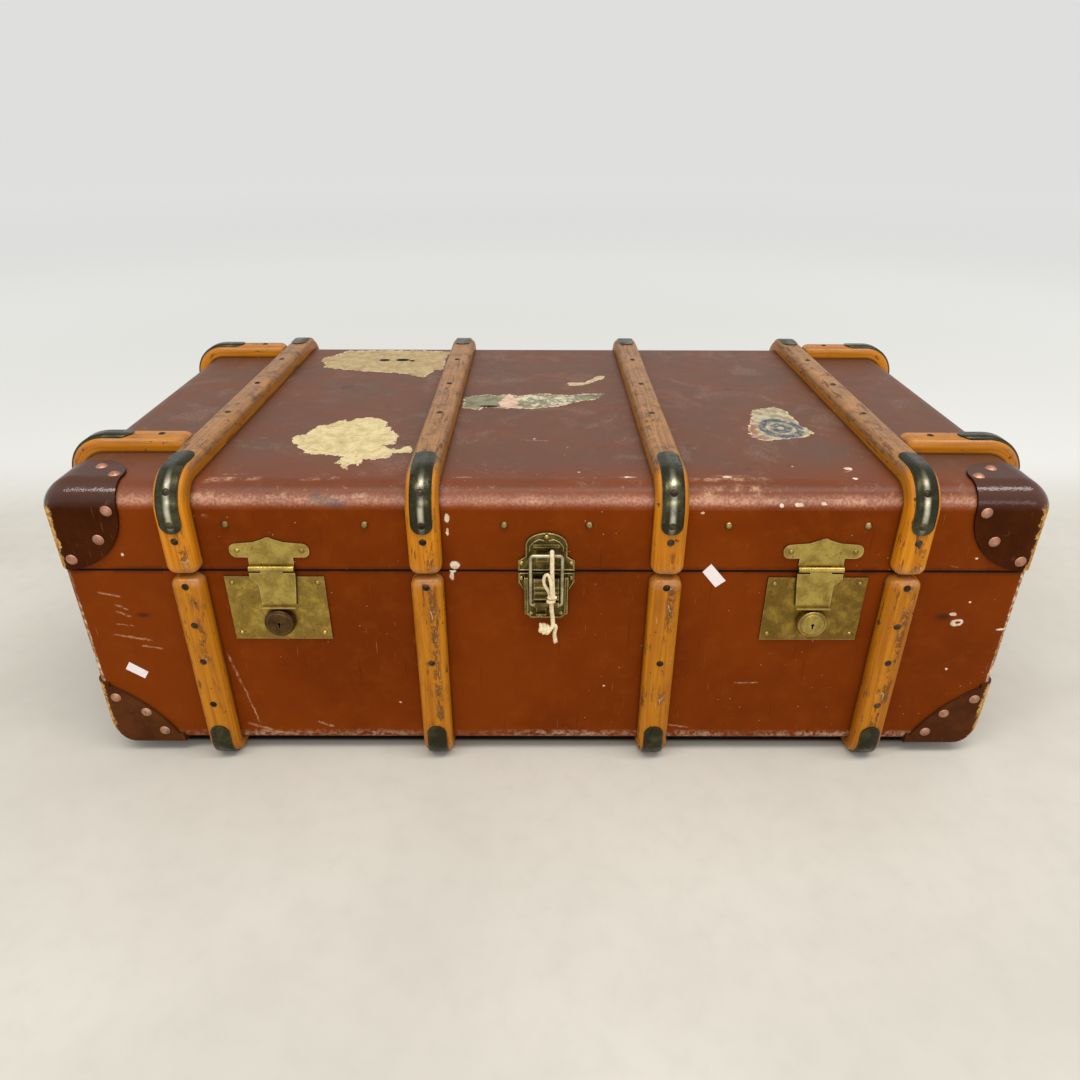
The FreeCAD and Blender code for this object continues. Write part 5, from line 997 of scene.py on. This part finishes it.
def make_string():
    verts, faces = [], []
    ring = 1.8 + STRING_RAD + 0.05
    knot = Vector((4.8, KNOT_Y, SEAM - 22))
    strand = knot + Vector((0.7 * STRING_RAD, STRING_RAD / 2, 3.5))
    back, front, over = BAIL_Y + ring, BAIL_Y - ring, knot.x + 0.3
    add_rope(verts, faces, [
        (over, back, BAR_Z - ring), (over, back, BAR_Z + ring), (over, front, BAR_Z + ring),
        (over, front, BAR_Z - ring), (over, FRONT_Y, SEAM), strand], STRING_RAD)
    outer = knot + Vector((-0.9 * STRING_RAD, STRING_RAD / 2, 3.5))
    near = knot + Vector((0, -STRING_RAD, 3.5))
    wide, long = 5.6, 25
    add_rope(verts, faces, [
        outer, outer + Vector((0, 0, long / 6)), outer + Vector((-wide, -0.5, long / 2)),
        outer + Vector((-0.9 * wide, -1.05, 0.9 * long)), outer + Vector((-wide / 6, -2.1, long)),
        near + Vector((-wide / 10, 0, 0.6 * long)), near + Vector((0, 0, long / 4)), near],
        0.76 * STRING_RAD, 1)
    end = Vector((2.2, KNOT_Y, SEAM - 55))
    add_rope(verts, faces, [knot, knot + Vector((0, 0, -12)), Vector((knot.x + 1.4, KNOT_Y, end.z + 14)),
                            Vector((knot.x + 1.8, KNOT_Y, end.z + 3))], STRING_RAD, 0.4)
    # the small knot: two turns round the strands
    add_rope(verts, faces, square_turns(knot, (0.25, 0.1, 1), lambda s: 2.75, 4.2, 1.75, 0.6),
             0.86 * STRING_RAD)
    # the end knot: an egg of turns on the left, a loose strand on the right that ends in the tail
    egg = end + Vector((-3.6, 0, 0))
    winding = square_turns(egg, (0.86, 0.1, -0.42), lambda s: 2.4 + 1.3 * math.sin(math.pi * s), 3.3, 3)
    add_rope(verts, faces, winding, STRING_RAD)
    add_rope(verts, faces, [egg + Vector((0, 0, -3)), egg + Vector((0, 0, 3))], 1.1 * STRING_RAD)
    add_rope(verts, faces, [
        egg + Vector((3.2, -1, -3.5)), egg + Vector((6.5, -2.2, 3)), egg + Vector((9.4, -1.2, 5.6)),
        end + Vector((7.4, 0, 2)), end + Vector((5.6, 0, -4.5)), end + Vector((6, 0, -9)),
        end + Vector((7, 0, -15.5))], 0.9 * STRING_RAD, 2, 0.35)
    string = round_piece("string", verts, faces, cotton(), "catch_bail")
    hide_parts("tie_string")


# ---- Raised rims of the catch's plates ----
RIM_RAD, RIM_Y = 0.75, -HALF_DEP / MM - 2.05
ARCH_Z, ARCH_WIDE = 253, 18.4
KEEPER_SIDE = [
    (0, SEAM + 2.2), (25.2, SEAM + 2.2), (25.2, SEAM + 11.5), (18.3, SEAM + 16.4), (ARCH_WIDE, ARCH_Z)]
BROW = [(2, 257), (7, 258.2), (12, 255.4), (15.6, 250.6), (15.4, 246)]
PLATE_EAR = [(16.5, SEAM - 2), (25.2, SEAM - 2), (25.2, SEAM - 11.5), (21.2, SEAM - 19)]
PLATE_LIP = [
    (16, 179), (17.6, 177.2), (13.6, 173.3), (8, 173.3), (6, 174.6), (3, 173.3), (0, 173.3)]


def rim(name, side, body, material):
    """Thin raised beads along a line given on one side of the middle, in millimetres."""
    verts, faces = [], []
    for sign in (-1, 1):
        line = [Vector((sign * x, RIM_Y, z)) for x, z in side]
        add_tube(verts, faces, even(line, 0.7), RIM_RAD)
    round_piece(name, verts, faces, material, body)


def make_rims(material):
    arch = [(ARCH_WIDE * math.cos(math.radians(a)), ARCH_Z + 0.62 * ARCH_WIDE * math.sin(math.radians(a)))
            for a in range(8, 91, 6)]
    rim("keeper_rim", KEEPER_SIDE + arch, "lid", material)
    rim("keeper_brow", BROW, "lid", material)
    rim("plate_rim", PLATE_EAR, "base", material)
    rim("plate_lip", PLATE_LIP, "base", material)


make_lights()
make_floor()
paint_box()
make_rims(paint_metals())
make_string()
make_papers()
